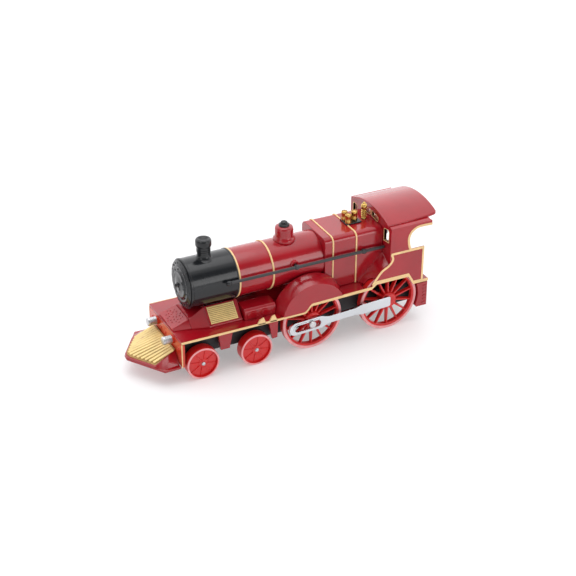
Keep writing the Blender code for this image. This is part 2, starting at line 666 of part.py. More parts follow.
def cab_fittings():
    """Backhead with its fire door, the regulator and the reversing lever."""
    x = CAB_X - CAB_WALL - GAP
    half = [(12.5, 36.0), (12.5, 56.0), (10.0, 60.0), (5.0, 62.0)]
    plate = prism("backhead", [half + mirror_y(half)], "X", x - 2.0, x, BLACK)
    join(plate, rod_along("fire_door", "X", (0, 0, 46), 4.0, x - 3.0, x - 1.5, BLACK, 20))
    join(plate, rod_along("gauge", "X", (0, 5.5, 56), 2.0, x - 3.0, x - 1.5, BLACK, 16))
    lever = box("reversing_lever", (-85.2, -12.7, 29.3), (-81.4, -9.9, 30.9), BLACK)
    stem = [(-84.0, 30.6), (-82.4, 30.6), (-79.6, 46.0), (-80.9, 46.0)]
    bar = prism("lever_bar", [stem], "Y", -11.9, -10.7, BLACK)
    knob = [(0, 2), (1.4, 1.4), (2, 0), (1.4, -1.4), (0, -2)]
    join(lever, bar, turned("lever_knob", knob, "Z", (-80.25, -11.3, 46.5), BLACK, 12))


# ---------------------------------------------------------------- underframe and motor
def underframe():
    low, high = FRAME_Z
    tub = box("chassis_base", (-87.9, -FRAME_W, low), (69.9, FRAME_W, high), FRAME_BLACK)
    cut(tub, box("tub_inside", (-86.4, -FRAME_W + 1.5, low + 1.5),
                 (68.4, FRAME_W - 1.5, high + 2)))
    for i, x in enumerate(BOGIE_X):
        for word, side in SIDES:
            y0, y1 = span(side, 12.5, FRAME_W)
            join(tub, box(f"horn_{i}_{word}", (x - 3.4, y0, 7.2), (x + 3.4, y1, low + 0.8)))
    join(tub, box("coupling_bar", (-95.6, -2.5, 11.0), (-82.0, 2.5, low + 0.8), FRAME_BLACK))
    join(tub, box("coupling_tip", (-95.6, -2.4, 12.0), (-94.2, 2.4, 16.4), FRAME_BLACK))
    for i, (x, z) in enumerate(AXLES):
        cut(tub, rod_along(f"axle_hole_{i}", "+Y", (x, 0, z), AXLE_HOLE_R, -20, 20, STEEL, 12))
    for i, x in enumerate(SCREW_X):
        cut(tub, rod_along(f"screw_hole_{i}", "Z", (x, 0, 0), 1.25, 10, 14.2, STEEL, 10))
    return tub


AXLES = [(x, BOGIE_R) for x in BOGIE_X] + [(x, DRIVER_R) for x in DRIVER_X]


CASE_OUTLINE = [(-69.3, 14.2), (-69.3, 26.0), (-62.9, 32.1), (-35.0, 32.1), (-35.0, 14.2)]
CASE_INSIDE = [(-68.4, 15.1), (-68.4, 25.6), (-62.5, 31.2), (-35.9, 31.2), (-35.9, 15.1)]
SHAFT_R = 0.8


def motor_case():
    for word, low, high in (("left", 0.15, 9.4), ("right", -6.6, -0.15)):
        half = prism("motor_case_" + word, [CASE_OUTLINE], "Y", low, high, FRAME_BLACK)
        inside = (low - 1, high - 0.9) if word == "left" else (low + 0.9, high + 1)
        cut(half, prism("case_inside_" + word, [CASE_INSIDE], "Y", *inside))
        axle = (DRIVER_X[1], 0, DRIVER_R)
        cut(half, rod_along("case_axle_" + word, "+Y", axle, AXLE_HOLE_R, -20, 20, STEEL, 12))
        for i, (x, z) in enumerate((COMPOUND, ARBOR)):
            cut(half, rod_along(f"case_shaft_{word}_{i}", "+Y", (x, 0, z), SHAFT_R + 0.09,
                                -20, 20, STEEL, 12))


def gear_outline(teeth, phase, centre):
    """Straight-flanked teeth with running backlash, as (x, z) points."""
    pitch_r = GEAR_M * teeth / 2
    root, tip = pitch_r - 1.15 * GEAR_M, pitch_r + 0.85 * GEAR_M
    step = 2 * math.pi / teeth
    points = []
    for i in range(teeth):
        middle = phase + i * step
        for radius, share in ((root, -0.30), (tip, -0.11), (tip, 0.11), (root, 0.30)):
            angle = middle + share * step
            points.append((centre[0] + radius * math.cos(angle),
                           centre[1] + radius * math.sin(angle)))
    return points


def circle(centre, radius, count):
    return arc(centre, radius, 0, 360 - 360 / count, count - 1)


def gears():
    """Axle pinion, compound gear on its own shaft, and the spring's gear on the arbor."""
    axle = (DRIVER_X[1], DRIVER_R)
    pinion = prism("axle_pinion", [gear_outline(PINION_T, MESH_ANGLE, axle),
                                   circle(axle, AXLE_R + 0.15, 12)], "Y", 4.7, 7.7, NYLON)
    wheel_phase = MESH_ANGLE + math.pi + math.pi / WHEEL_T
    compound = prism("compound_gear", [gear_outline(WHEEL_T, wheel_phase, COMPOUND)], "Y",
                     5.0, 7.4, NYLON)
    small = gear_outline(PINION_T, 0.0, COMPOUND)
    join(compound, prism("compound_pinion", [small], "Y", -5.0, -1.7, NYLON))
    shaft = (COMPOUND[0], 0, COMPOUND[1])
    join(compound, rod_along("compound_hub", "+Y", shaft, 1.8, -2.5, 5.5, NYLON, 8))
    join(compound, rod_along("compound_shaft", "+Y", shaft, SHAFT_R, -6.4, 9.2, NYLON, 12))
    arbor_phase = math.pi + math.pi / WHEEL_T
    spring_gear = prism("spring_gear", [gear_outline(WHEEL_T, arbor_phase, ARBOR)], "Y",
                        -4.7, -2.0, NYLON)
    arbor = (ARBOR[0], 0, ARBOR[1])
    join(spring_gear, rod_along("arbor_drum", "+Y", arbor, 1.7, -3.0, 4.4, NYLON, 8))
    join(spring_gear, rod_along("arbor_shaft", "+Y", arbor, SHAFT_R, -6.4, 9.2, NYLON, 12))
    return pinion, compound, spring_gear


def mainspring():
    """Flat spiral spring round the arbor, a strip on edge."""
    turns, per_turn, strip = 4, 12, 0.3
    inner, outer = [], []
    for i in range(turns * per_turn + 1):
        angle = 2 * math.pi * i / per_turn
        radius = 2.0 + 4.7 * i / (turns * per_turn)
        ray = (math.cos(angle), math.sin(angle))
        inner.append((ARBOR[0] + radius * ray[0], ARBOR[1] + radius * ray[1]))
        radius += strip
        outer.append((ARBOR[0] + radius * ray[0], ARBOR[1] + radius * ray[1]))
    return prism("mainspring", [inner + list(reversed(outer))], "Y", -1.4, 4.2, STEEL)


# ---------------------------------------------------------------- wheels and rods
def spoke_star(centre, inner, outer, width):
    """Outline of all spokes in one star."""
    points = []
    for i in range(SPOKES):
        angle = 2 * math.pi * (i + 0.5) / SPOKES
        along = (math.cos(angle), math.sin(angle))
        across = (-along[1], along[0])
        for radius, side in ((inner, -1), (outer, -1), (outer, 1), (inner, 1)):
            half = side * width / 2
            points.append((centre[0] + along[0] * radius + across[0] * half,
                           centre[1] + along[1] * radius + across[1] * half))
    return points


def driving_wheelset(index, word):
    x = DRIVER_X[index]
    empty = pivot(word + "_driving_axis", x, 0, DRIVER_R)
    pieces = []
    axle = rod_along(word + "_driving_axle", "+Y", (x, 0, DRIVER_R), AXLE_R, -22, 22, STEEL)
    pieces.append(axle)
    for hand, side in SIDES:
        name = f"{word}_driving_wheel_{hand}"
        rim = [(16.5, DRIVER_OUT), (DRIVER_R, DRIVER_OUT), (DRIVER_R, DRIVER_IN),
               (16.5, DRIVER_IN)]
        turn = "+Y" if side > 0 else "-Y"
        wheel = turned(name, rim, turn, (x, 0, DRIVER_R), WHEEL_RED, 32, ring=True)
        y0, y1 = span(side, 20.4, 22.4)
        star = spoke_star((x, DRIVER_R), 4.0, 17.4, 1.3)
        join(wheel, prism(name + "_spokes", [star], "Y", y0, y1, WHEEL_RED))
        hub = [(0, 24.9), (5.0, 24.9), (5.0, 18.0), (0, 18.0)]
        join(wheel, turned(name + "_hub", hub, turn, (x, 0, DRIVER_R), WHEEL_RED, 12))
        y0, y1 = span(side, 17.0, 22.3)
        cut(wheel, rod_along(name + "_bore", "+Y", (x, 0, DRIVER_R), AXLE_R + 0.15, y0, y1, STEEL, 8))
        pin = (x + CRANK[0], 0, DRIVER_R + CRANK[1])
        pin_r = 1.1 if index == 0 else 0.9
        y0, y1 = span(side, 22.8, 26.0)
        cut(wheel, rod_along(name + "_pin_hole", "+Y", pin, pin_r + 0.15, y0, y1, STEEL, 8))
        if index == 0:
            shape = [(0, 28.9), (1.9, 28.9), (2.3, 28.5), (2.3, ROD_OUT + GAP),
                     (pin_r, ROD_OUT + GAP), (pin_r, 23.0), (0, 23.0)]
        else:
            shape = [(0, 26.5), (pin_r, 26.5), (pin_r, 23.0), (0, 23.0)]
        pieces.append(turned(f"{word}_crank_pin_{hand}", shape, turn, pin, SILVER, 12))
        pieces.append(wheel)
    carry(empty, *pieces)
    return empty


def bogie_wheelset(index, word):
    x = BOGIE_X[index]
    empty = pivot(word + "_bogie_axis", x, 0, BOGIE_R)
    axle = rod_along(word + "_bogie_axle", "+Y", (x, 0, BOGIE_R), AXLE_R, -26.6, 26.6, STEEL)
    carry(empty, axle)
    bore = AXLE_R + 0.15
    for hand, side in SIDES:
        profile = [(bore, 26.0), (2.5, 26.0), (2.5, 25.2), (8.5, 25.2), (8.5, BOGIE_OUT),
                   (BOGIE_R, BOGIE_OUT), (BOGIE_R, BOGIE_IN), (bore, BOGIE_IN)]
        turn = "+Y" if side > 0 else "-Y"
        wheel = turned(f"{word}_bogie_wheel_{hand}", profile, turn, (x, 0, BOGIE_R), WHEEL_RED, 28,
                       ring=True)
        carry(empty, wheel)
    return empty


def rod_z(x):
    return ROD_Z_AT[1] + ROD_SLOPE * (x - ROD_Z_AT[0])


def coupling_rod(hand, side):
    stations = [(-63.5, 2.6), (-62.8, 3.3), (-43.6, 3.3), (-39.6, 2.3), (-23.0, 2.3),
                (-19.6, 2.9), (-16.6, 4.1), (1.0, 4.1)]
    nose = [(4.6 - 3.6 + 3.6 * math.cos(a), 4.1 * math.sin(a))
            for a in [math.radians(d) for d in (60, 30, 0, -30, -60)]]
    upper = [(x, rod_z(x) + h) for x, h in stations]
    lower = [(x, rod_z(x) - h) for x, h in reversed(stations)]
    middle = [(x, rod_z(x) + h) for x, h in nose]
    slot = []
    for centre, start in ((-13.7, 90), (-1.1, -90)):
        for i in range(7):
            angle = math.radians(start + 30 * i)
            x = centre + 2.3 * math.cos(angle)
            slot.append((x, rod_z(centre) + 2.3 * math.sin(angle)
                         + ROD_SLOPE * 2.3 * math.cos(angle)))
    y0, y1 = span(side, ROD_IN, ROD_OUT)
    rod = prism("coupling_rod_" + hand, [upper + middle + lower, slot], "Y", y0, y1, SILVER)
    pin = (DRIVER_X[1] + CRANK[0], 0, DRIVER_R + CRANK[1])
    y0, y1 = span(side, 24.0, 26.8)
    cut(rod, rod_along("rod_eye_" + hand, "+Y", pin, 0.98, y0, y1, STEEL, 16))
    carry(pivot("rod_pivot_" + hand, pin[0], 0, pin[2]), rod)


# ---------------------------------------------------------------- build
def main():
    running_plate()
    buffer_beam()
    pilot()
    saddle()
    cylinder_blocks()
    front_splashers()
    rear_steps()
    boiler()
    chimney()
    dome()
    firebox()
    handrails()
    valves()
    cab()
    roof()
    cab_fittings()
    underframe()
    screws()
    motor_case()
    pinion, compound, spring_gear = gears()
    carry(pivot("compound_axis", COMPOUND[0], 0, COMPOUND[1]), compound)
    carry(pivot("arbor_axis", ARBOR[0], 0, ARBOR[1]), spring_gear, mainspring())
    driving_wheelset(0, "front")
    carry(driving_wheelset(1, "rear"), pinion)
    bogie_wheelset(0, "front")
    bogie_wheelset(1, "rear")
    for hand, side in SIDES:
        coupling_rod(hand, side)


main()
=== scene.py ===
"""Looks of the toy locomotive: detailed pieces, materials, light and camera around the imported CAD.

Lengths in the modelling helpers are in millimetres; MM turns them into metres.
+X is forward, +Y the locomotive's left, +Z up, as in the CAD.
"""

import math

import bmesh
import bpy
from mathutils import Matrix, Vector


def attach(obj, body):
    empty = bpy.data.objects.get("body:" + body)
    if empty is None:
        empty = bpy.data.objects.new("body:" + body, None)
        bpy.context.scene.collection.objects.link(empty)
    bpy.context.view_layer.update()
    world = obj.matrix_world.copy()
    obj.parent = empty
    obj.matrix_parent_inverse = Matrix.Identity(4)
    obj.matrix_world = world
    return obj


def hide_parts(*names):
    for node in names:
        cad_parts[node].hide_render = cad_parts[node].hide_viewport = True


MM = 0.001
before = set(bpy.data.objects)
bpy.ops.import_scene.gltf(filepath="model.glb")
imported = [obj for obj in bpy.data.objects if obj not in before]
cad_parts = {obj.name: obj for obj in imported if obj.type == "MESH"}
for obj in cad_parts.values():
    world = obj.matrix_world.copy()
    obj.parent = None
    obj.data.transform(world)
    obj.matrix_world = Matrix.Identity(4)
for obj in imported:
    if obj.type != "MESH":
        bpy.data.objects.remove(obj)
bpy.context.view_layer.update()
PIECES = bpy.data.collections.new("looks")
bpy.context.scene.collection.children.link(PIECES)
SIDES = (("left", 1), ("right", -1))


# ---- materials
def fill(node, values):
    for name, value in values.items():
        node.inputs[name].default_value = value


def new_node(tree, kind, inputs=(), **settings):
    node = tree.nodes.new("ShaderNode" + kind)
    for name, value in settings.items():
        setattr(node, name, value)
    fill(node, dict(inputs))
    return node


def coating(name, colour, rough, metal=0.0, coat=0.0, coat_rough=0.05, spread=0.12, grain=900.0,
            bump=0.05, depth=0.00004, blotch=60.0, specular=0.5, stretch=None):
    """A Principled material with procedural colour variation, roughness and bump.

    spread is how far the colour varies, blotch and grain are the scales of the broad and the
    fine noise, depth is the bump's height in metres, stretch scales the pattern along X, Y and Z.
    """
    material = bpy.data.materials.new(name)
    material.use_nodes = True
    tree = material.node_tree
    shader = tree.nodes["Principled BSDF"]
    fill(shader, {"Metallic": metal, "Coat Weight": coat, "Coat Roughness": coat_rough,
                  "Specular IOR Level": specular})
    place = new_node(tree, "TexCoord").outputs["Object"]
    if stretch:
        mapping = new_node(tree, "Mapping", {"Scale": stretch})
        tree.links.new(place, mapping.inputs["Vector"])
        place = mapping.outputs["Vector"]
    broad = new_node(tree, "TexNoise", {"Scale": blotch, "Detail": 3.0})
    fine = new_node(tree, "TexNoise", {"Scale": grain, "Detail": 4.0})
    tint = new_node(tree, "ValToRGB")
    for element, stop, share in zip(tint.color_ramp.elements, (0.3, 0.7), (1 - spread, 1 + spread)):
        element.position = stop
        element.color = (*(min(1.0, c * share) for c in colour), 1.0)
    gloss = new_node(tree, "MapRange", {"To Min": rough * 0.75, "To Max": min(1.0, rough * 1.35)})
    lump = new_node(tree, "Bump", {"Strength": bump, "Distance": depth})
    for output, target in ((place, broad.inputs["Vector"]), (place, fine.inputs["Vector"]),
                           (broad.outputs["Fac"], tint.inputs["Fac"]),
                           (tint.outputs["Color"], shader.inputs["Base Color"]),
                           (fine.outputs["Fac"], gloss.inputs["Value"]),
                           (gloss.outputs["Result"], shader.inputs["Roughness"]),
                           (fine.outputs["Fac"], lump.inputs["Height"]),
                           (lump.outputs["Normal"], shader.inputs["Normal"])):
        tree.links.new(output, target)
    return material


RED = coating("red_enamel", (0.37, 0.006, 0.014), 0.17, coat=0.35, coat_rough=0.06, bump=0.1,
              grain=420, spread=0.1, depth=0.00006)
# Beam red lightened towards orange: the red paint plus painted light reflected from the gold.
BEAM_RED_PAINTED_BOUNCE = coating("beam_red_painted_bounce", (0.62, 0.04, 0.012), 0.24, coat=0.3, bump=0.1, grain=600, spread=0.1)
PAD_RED = coating("pad_red", (0.42, 0.012, 0.02), 0.22, coat=0.3, coat_rough=0.1, bump=0.9,
                  grain=330, depth=0.0004)
BLACK = coating("black_gloss", (0.01, 0.011, 0.013), 0.17, coat=0.1, coat_rough=0.08, bump=0.14,
                grain=420, spread=0.25, depth=0.00008, specular=0.4)
GOLD = coating("gold_paint", (0.88, 0.60, 0.29), 0.42, 0.12, bump=0.1, grain=2200, spread=0.1,
               blotch=220)
PLATE_GOLD = coating("plate_gold", (0.86, 0.65, 0.27), 0.4, 0.15, bump=0.14, grain=2000,
                     spread=0.1, blotch=150)
# Darker copy of the plate gold: painted shade for the grooves between the slats of the pilot and the
# grilles.
SHADED_GROOVE_GOLD = coating("groove_gold_painted_shade", (0.42, 0.25, 0.08), 0.55, 0.1, bump=0.15, grain=2000,
                      spread=0.15, blotch=150)
BRASS = coating("brass", (0.62, 0.40, 0.12), 0.24, 1.0, bump=0.08, grain=1500, blotch=300)
SILVER = coating("rod_silver", (0.64, 0.67, 0.70), 0.14, 1.0, bump=0.03, grain=700, spread=0.05,
                 blotch=90)
PLATED = coating("plated_silver", (0.60, 0.60, 0.61), 0.36, 1.0, bump=0.15, grain=1200,
                 spread=0.14, blotch=300)
STEEL = coating("steel", (0.55, 0.55, 0.57), 0.26, 1.0, bump=0.1, grain=1800, spread=0.1,
                stretch=(1.0, 0.1, 1.0))
WHEEL_RED = coating("wheel_red", (0.66, 0.013, 0.013), 0.3, coat=0.2, coat_rough=0.15, bump=0.1,
                    grain=800, spread=0.08)
RIM_PINK = coating("rim_paint", (0.84, 0.36, 0.37), 0.36, bump=0.15, grain=1500, spread=0.14,
                   blotch=260)
RAIL_GREY = coating("rail_grey", (0.04, 0.04, 0.043), 0.45, bump=0.15, grain=1500, spread=0.15,
                    specular=0.45)
FRAME_BLACK = coating("frame_black", (0.018, 0.019, 0.022), 0.5, bump=0.25, grain=1800, spread=0.2)
NYLON = coating("nylon", (0.78, 0.77, 0.70), 0.5, bump=0.1, grain=1500, spread=0.05)


# ---- modelling helpers
def bake(obj):
    """Turn an object's modifiers into its mesh."""
    depsgraph = bpy.context.evaluated_depsgraph_get()
    mesh = bpy.data.meshes.new_from_object(obj.evaluated_get(depsgraph), depsgraph=depsgraph)
    obj.modifiers.clear()
    old, obj.data = obj.data, mesh
    bpy.data.meshes.remove(old)
    return obj


def from_bmesh(name, shape, paint):
    mesh = bpy.data.meshes.new(name)
    shape.to_mesh(mesh)
    shape.free()
    mesh.materials.append(paint)
    obj = bpy.data.objects.new(name, mesh)
    PIECES.objects.link(obj)
    return obj


def soften(obj, width=0.25, segments=2, angle=35):
    """Bevel an object's edges and give its flats true normals."""
    obj.data.shade_smooth()
    if width:
        step = obj.modifiers.new("bevel", "BEVEL")
        step.width = width * MM
        step.segments = segments
        step.limit_method = "ANGLE"
        step.angle_limit = math.radians(angle)
        step.miter_outer = "MITER_ARC"
    even = obj.modifiers.new("even", "WEIGHTED_NORMAL")
    even.keep_sharp = True
    bake(obj)
    return obj


def boolean(target, operand, operation):
    """Cut or join with another object, which is used up."""
    step = target.modifiers.new("boolean", "BOOLEAN")
    step.operation = operation
    step.solver = "EXACT"
    step.object = operand
    bake(target)
    bpy.data.objects.remove(operand, do_unlink=True)
    return target


def cut(target, *operands):
    for operand in operands:
        boolean(target, operand, "DIFFERENCE")
    return target


def join(target, *operands):
    for operand in operands:
        boolean(target, operand, "UNION")
    return target


def block(name, low, high, paint=RED):
    shape = bmesh.new()
    bmesh.ops.create_cube(shape, size=1.0)
    bmesh.ops.scale(shape, vec=[(b - a) * MM for a, b in zip(low, high)], verts=shape.verts)
    middle = [(a + b) / 2 * MM for a, b in zip(low, high)]
    bmesh.ops.translate(shape, vec=middle, verts=shape.verts)
    return from_bmesh(name, shape, paint)


# rotations taking a flat XY outline to the plane across the axis named
PLANES = {
    "X": Matrix(((0, 0, 1), (1, 0, 0), (0, 1, 0))).to_4x4(),
    "Y": Matrix(((1, 0, 0), (0, 0, -1), (0, 1, 0))).to_4x4(),
    "Z": Matrix.Identity(4),
}


def prism(name, loops, axis, low, high, paint=RED):
    """Flat outline with holes, extruded along an axis."""
    curve = bpy.data.curves.new(name, "CURVE")
    curve.dimensions = "2D"
    curve.fill_mode = "BOTH"
    curve.extrude = (high - low) / 2 * MM
    for loop in loops:
        spline = curve.splines.new("POLY")
        spline.points.add(len(loop) - 1)
        for point, (a, b) in zip(spline.points, loop):
            point.co = (a * MM, b * MM, 0.0, 1.0)
        spline.use_cyclic_u = True
    guide = bpy.data.objects.new(name + "_outline", curve)
    bpy.context.scene.collection.objects.link(guide)
    depsgraph = bpy.context.evaluated_depsgraph_get()
    mesh = bpy.data.meshes.new_from_object(guide.evaluated_get(depsgraph))
    bpy.data.objects.remove(guide, do_unlink=True)
    middle = Vector([(low + high) / 2 * MM if a == axis else 0.0 for a in "XYZ"])
    shape = bmesh.new()
    shape.from_mesh(mesh)
    bpy.data.meshes.remove(mesh)
    bmesh.ops.remove_doubles(shape, verts=shape.verts, dist=1e-6)
    bmesh.ops.transform(shape, matrix=Matrix.Translation(middle) @ PLANES[axis],
                        verts=shape.verts)
    bmesh.ops.recalc_face_normals(shape, faces=shape.faces)
    if len(loops) == 1:
        bmesh.ops.dissolve_limit(shape, angle_limit=0.002, verts=shape.verts, edges=shape.edges)
    return from_bmesh(name, shape, paint)


# rotations taking local +Z to the axis named
TURNS = {
    "Z": Matrix.Identity(4),
    "X": Matrix.Rotation(math.radians(90), 4, "Y"),
    "+Y": Matrix.Rotation(math.radians(-90), 4, "X"),
    "-Y": Matrix.Rotation(math.radians(90), 4, "X"),
}


def turned(name, profile, axis, centre, paint, steps=72, ring=False, smooth=32):
    """Solid of revolution from (radius, height) points listed down its outer side."""
    shape = bmesh.new()
    rows = []
    for i in range(steps):
        angle = 2 * math.pi * i / steps
        row = []
        for r, h in profile:
            if r == 0 and rows:
                row.append(rows[0][len(row)])
            else:
                row.append(shape.verts.new((r * math.cos(angle) * MM, r * math.sin(angle) * MM,
                                            h * MM)))
        rows.append(row)
    count = len(profile)
    last = count if ring else count - 1
    for a, b in zip(rows, rows[1:] + rows[:1]):
        for j in range(last):
            k = (j + 1) % count
            corners = [a[j], a[k], b[k], b[j]]
            unique = list(dict.fromkeys(corners))
            if len(unique) > 2:
                shape.faces.new(unique)
    bmesh.ops.recalc_face_normals(shape, faces=shape.faces)
    matrix = Matrix.Translation(Vector(centre) * MM) @ TURNS[axis]
    bmesh.ops.transform(shape, matrix=matrix, verts=shape.verts)
    obj = from_bmesh(name, shape, paint)
    obj.data.shade_smooth()
    obj.data.set_sharp_from_angle(angle=math.radians(smooth))
    return obj


def bar(name, axis, centre, radius, low, high, paint, steps=32, edge=0.0):
    """Cylinder along an axis, its rims bevelled by edge."""
    profile = [(0, high), (radius - edge, high), (radius, high - edge), (radius, low + edge),
               (radius - edge, low), (0, low)]
    if not edge:
        profile = [(0, high), (radius, high), (radius, low), (0, low)]
    return turned(name, profile, axis, centre, paint, steps)


def loft(name, sections, paint=RED):
    """Skin over sections with equal counts of 3-D points, each a closed loop."""
    shape = bmesh.new()
    rows = [[shape.verts.new(Vector(p) * MM) for p in section] for section in sections]
    count = len(rows[0])
    for a, b in zip(rows, rows[1:]):
        for j in range(count):
            k = (j + 1) % count
            shape.faces.new((a[j], a[k], b[k], b[j]))
    shape.faces.new(rows[0])
    shape.faces.new(reversed(rows[-1]))
    bmesh.ops.recalc_face_normals(shape, faces=shape.faces)
    return from_bmesh(name, shape, paint)


def arc(centre, radius, start, end, count):
    """Points along a circular arc between two angles in degrees."""
    points = []
    for i in range(count + 1):
        angle = math.radians(start + (end - start) * i / count)
        points.append((centre[0] + radius * math.cos(angle), centre[1] + radius * math.sin(angle)))
    return points


def mirror(points):
    """The same outline on the other side of the middle, in walking order."""
    return [(-a, b) for a, b in reversed(points)]


def span(side, inner, outer):
    """Low and high Y of what lies between two distances from the middle, on one side."""
    return (inner, outer) if side > 0 else (-outer, -inner)


def side_prism(name, loops, side, inner, outer, paint=RED):
    return prism(name, loops, "Y", *span(side, inner, outer), paint)


def outward(side):
    return "+Y" if side > 0 else "-Y"


def smooth_path(points, share=4):
    """Catmull-Rom points through a polyline."""
    out = []
    for i in range(len(points) - 1):
        p = [Vector(points[max(0, min(len(points) - 1, i + k))]) for k in (-1, 0, 1, 2)]
        for j in range(share):
            t = j / share
            slope = p[2] - p[0]
            square = 2 * p[0] - 5 * p[1] + 4 * p[2] - p[3]
            cube = 3 * p[1] - p[0] - 3 * p[2] + p[3]
            q = 0.5 * (2 * p[1] + slope * t + square * t * t + cube * t ** 3)
            out.append(tuple(q))
    out.append(tuple(points[-1]))
    return out


def strip(points, width):
    """Outline of a line of constant width along a path."""
    left, right = [], []
    for i, point in enumerate(points):
        a = Vector(points[max(0, i - 1)])
        b = Vector(points[min(len(points) - 1, i + 1)])
        back = (Vector(point) - a).normalized() if i else (b - Vector(point)).normalized()
        ahead = (b - Vector(point)).normalized() if i < len(points) - 1 else back
        along = (back + ahead).normalized()
        normal = Vector((-along.y, along.x))
        reach = width / 2 / max(0.5, normal.dot(Vector((-back.y, back.x))))
        left.append(tuple(Vector(point) + normal * reach))
        right.append(tuple(Vector(point) - normal * reach))
    return left + right[::-1]


def fuse(name, parts):
    """Put several finished pieces into one object without a Boolean."""
    shape = bmesh.new()
    materials = []
    for part in parts:
        mesh = part.data
        offset = len(materials)
        materials += mesh.materials
        start = len(shape.faces)
        shape.from_mesh(mesh)
        shape.faces.ensure_lookup_table()
        for face in shape.faces[start:]:
            face.material_index = offset + face.material_index
    mesh = bpy.data.meshes.new(name)
    shape.to_mesh(mesh)
    shape.free()
    unique = list(dict.fromkeys(materials))
    for item in unique:
        mesh.materials.append(item)
    order = [unique.index(item) for item in materials]
    for face in mesh.polygons:
        face.material_index = order[face.material_index]
    for part in parts:
        bpy.data.objects.remove(part, do_unlink=True)
    obj = bpy.data.objects.new(name, mesh)
    PIECES.objects.link(obj)
    mesh.shade_smooth()
    mesh.set_sharp_from_angle(angle=math.radians(32))
    return obj


def show(obj, body="locomotive", replaces=()):
    """Attach a finished piece to its body and hide the CAD nodes it stands for."""
    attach(obj, body)
    if replaces:
        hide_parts(*replaces)
    return obj


# ---- dimensions of the CAD
DRIVER_R, DRIVER_X = 19.45, (-12.23, -64.11)  # front and rear driving wheels
BOGIE_R, BOGIE_X = 10.1, (59.56, 25.56)
SPOKES, BOGIE_SPOKES = 14, 8
CRANK = (2.1, -0.6)  # crank pin from the wheel's centre, in X and Z
HALF_W = 24.9  # half the width over the deck and the cab sides
LOW_Z, LOW_T, HIGH_T = 25.4, 1.2, 1.7  # deck: underside in front, thickness low and high
BEAM_X = 72.2  # front face of the buffer beam
BUFFER_Y, BUFFER_Z = 11.8, 22.6
BOILER_Z, BOILER_R, SMOKE_R = 50.1, 14.5, 14.77
CHIMNEY_X, DOME_X, WHISTLE_X = 46.7, -4.8, -58.4
FIREBOX_TOP = 65.9
RAIL_Y, RAIL_Z = 17.3, 53.6
CAB_X, CAB_REAR_X, BELT_Z, EAVES_Z = -63.4, -86.9, 51.5, 68.6
ROOF_R, ROOF_CROWN, ROOF_T = 52.0, 74.6, 1.5


def plate_low():
    """Underside of the deck from front to rear, stepping up over the driving wheels."""
    points = [(BEAM_X, LOW_Z)]
    for i in range(11):
        t = i / 10
        points.append((-6.4 - 5.3 * t, LOW_Z + 4.2 * (1 - math.cos(math.pi * t)) / 2))
    return points + [(-51.4, 30.6), (-54.8, 33.3), (-76.6, 33.3), (-80.2, 27.3), (-90.9, 27.3)]


def plate_top(x):
    """Height of the deck's upper face."""
    points = [(a, b + (LOW_T if a > -6.5 else HIGH_T)) for a, b in plate_low()]
    for (xa, za), (xb, zb) in zip(points, points[1:]):
        if xb <= x <= xa:
            return za + (zb - za) * (xa - x) / (xa - xb)
    return points[-1][1]


def roof_z(y, radius=ROOF_R, crown=ROOF_CROWN):
    """Height of the roof's arch at a distance from the middle."""
    return crown - radius + math.sqrt(radius * radius - y * y)


# ---- running plate and front
LEGS = ([(48.4, 25.9), (38.9, 25.9), (41.3, 13.9), (46.9, 13.9)],
        [(16.4, 25.9), (9.9, 25.9), (10.5, 12.9), (13.8, 12.6)])
LUGS = ([(24.2, 25.7), (24.2, 26.8), (22.9, 28.9), (20.3, 29.9), (19.1, 26.8), (19.1, 25.7)],
        [(16.5, 25.7), (16.5, 26.8), (15.2, 29.2), (13.2, 30.0), (11.9, 26.8), (11.9, 25.7)])
WHEEL_SLOTS = ((-32.6, 8.4), (-83.4, -46.8))
POSTS_X = (44.0, 8.0, -76.0)


def running_plate():
    """Stepped deck with its gold edge, bracket legs, lugs and screw posts."""
    low = plate_low()
    outline = low + [(x, plate_top(x)) for x, z in reversed(low)]
    plate = prism("plate_casting", [outline], "Y", -HALF_W, HALF_W)
    golds = []
    for word, side in SIDES:
        y0, y1 = span(side, 18.0, 24.0)
        for rear, front in WHEEL_SLOTS:
            cut(plate, block("slot", (rear, y0, 20), (front, y1, 40)))
        for leg in LEGS:
            join(plate, side_prism("leg", [leg], side, 20.4, 22.6))
        for lug in LUGS:
            golds.append(soften(side_prism("lug", [lug], side, 23.9, HALF_W + 0.1, GOLD), 0.2))
        edge = [(x, z + 0.05) for x, z in low]
        edge += [(x, plate_top(x) + 0.1) for x, z in reversed(low)]
        rim = side_prism("edge", [edge], side, HALF_W - 0.5, HALF_W + 0.1, GOLD)
        golds.append(soften(rim, 0.12))
    cut(plate, block("opening", (-61, -10, 20), (-32, 10, 40)))
    for x in POSTS_X:
        join(plate, bar("post", "Z", (x, 0, 0), 2.6, 14.3, plate_top(x) - 0.6, RED, 24))
    soften(plate, 0.2)
    show(plate, replaces=["running_plate"])
    show(fuse("plate_gold_edge", golds))


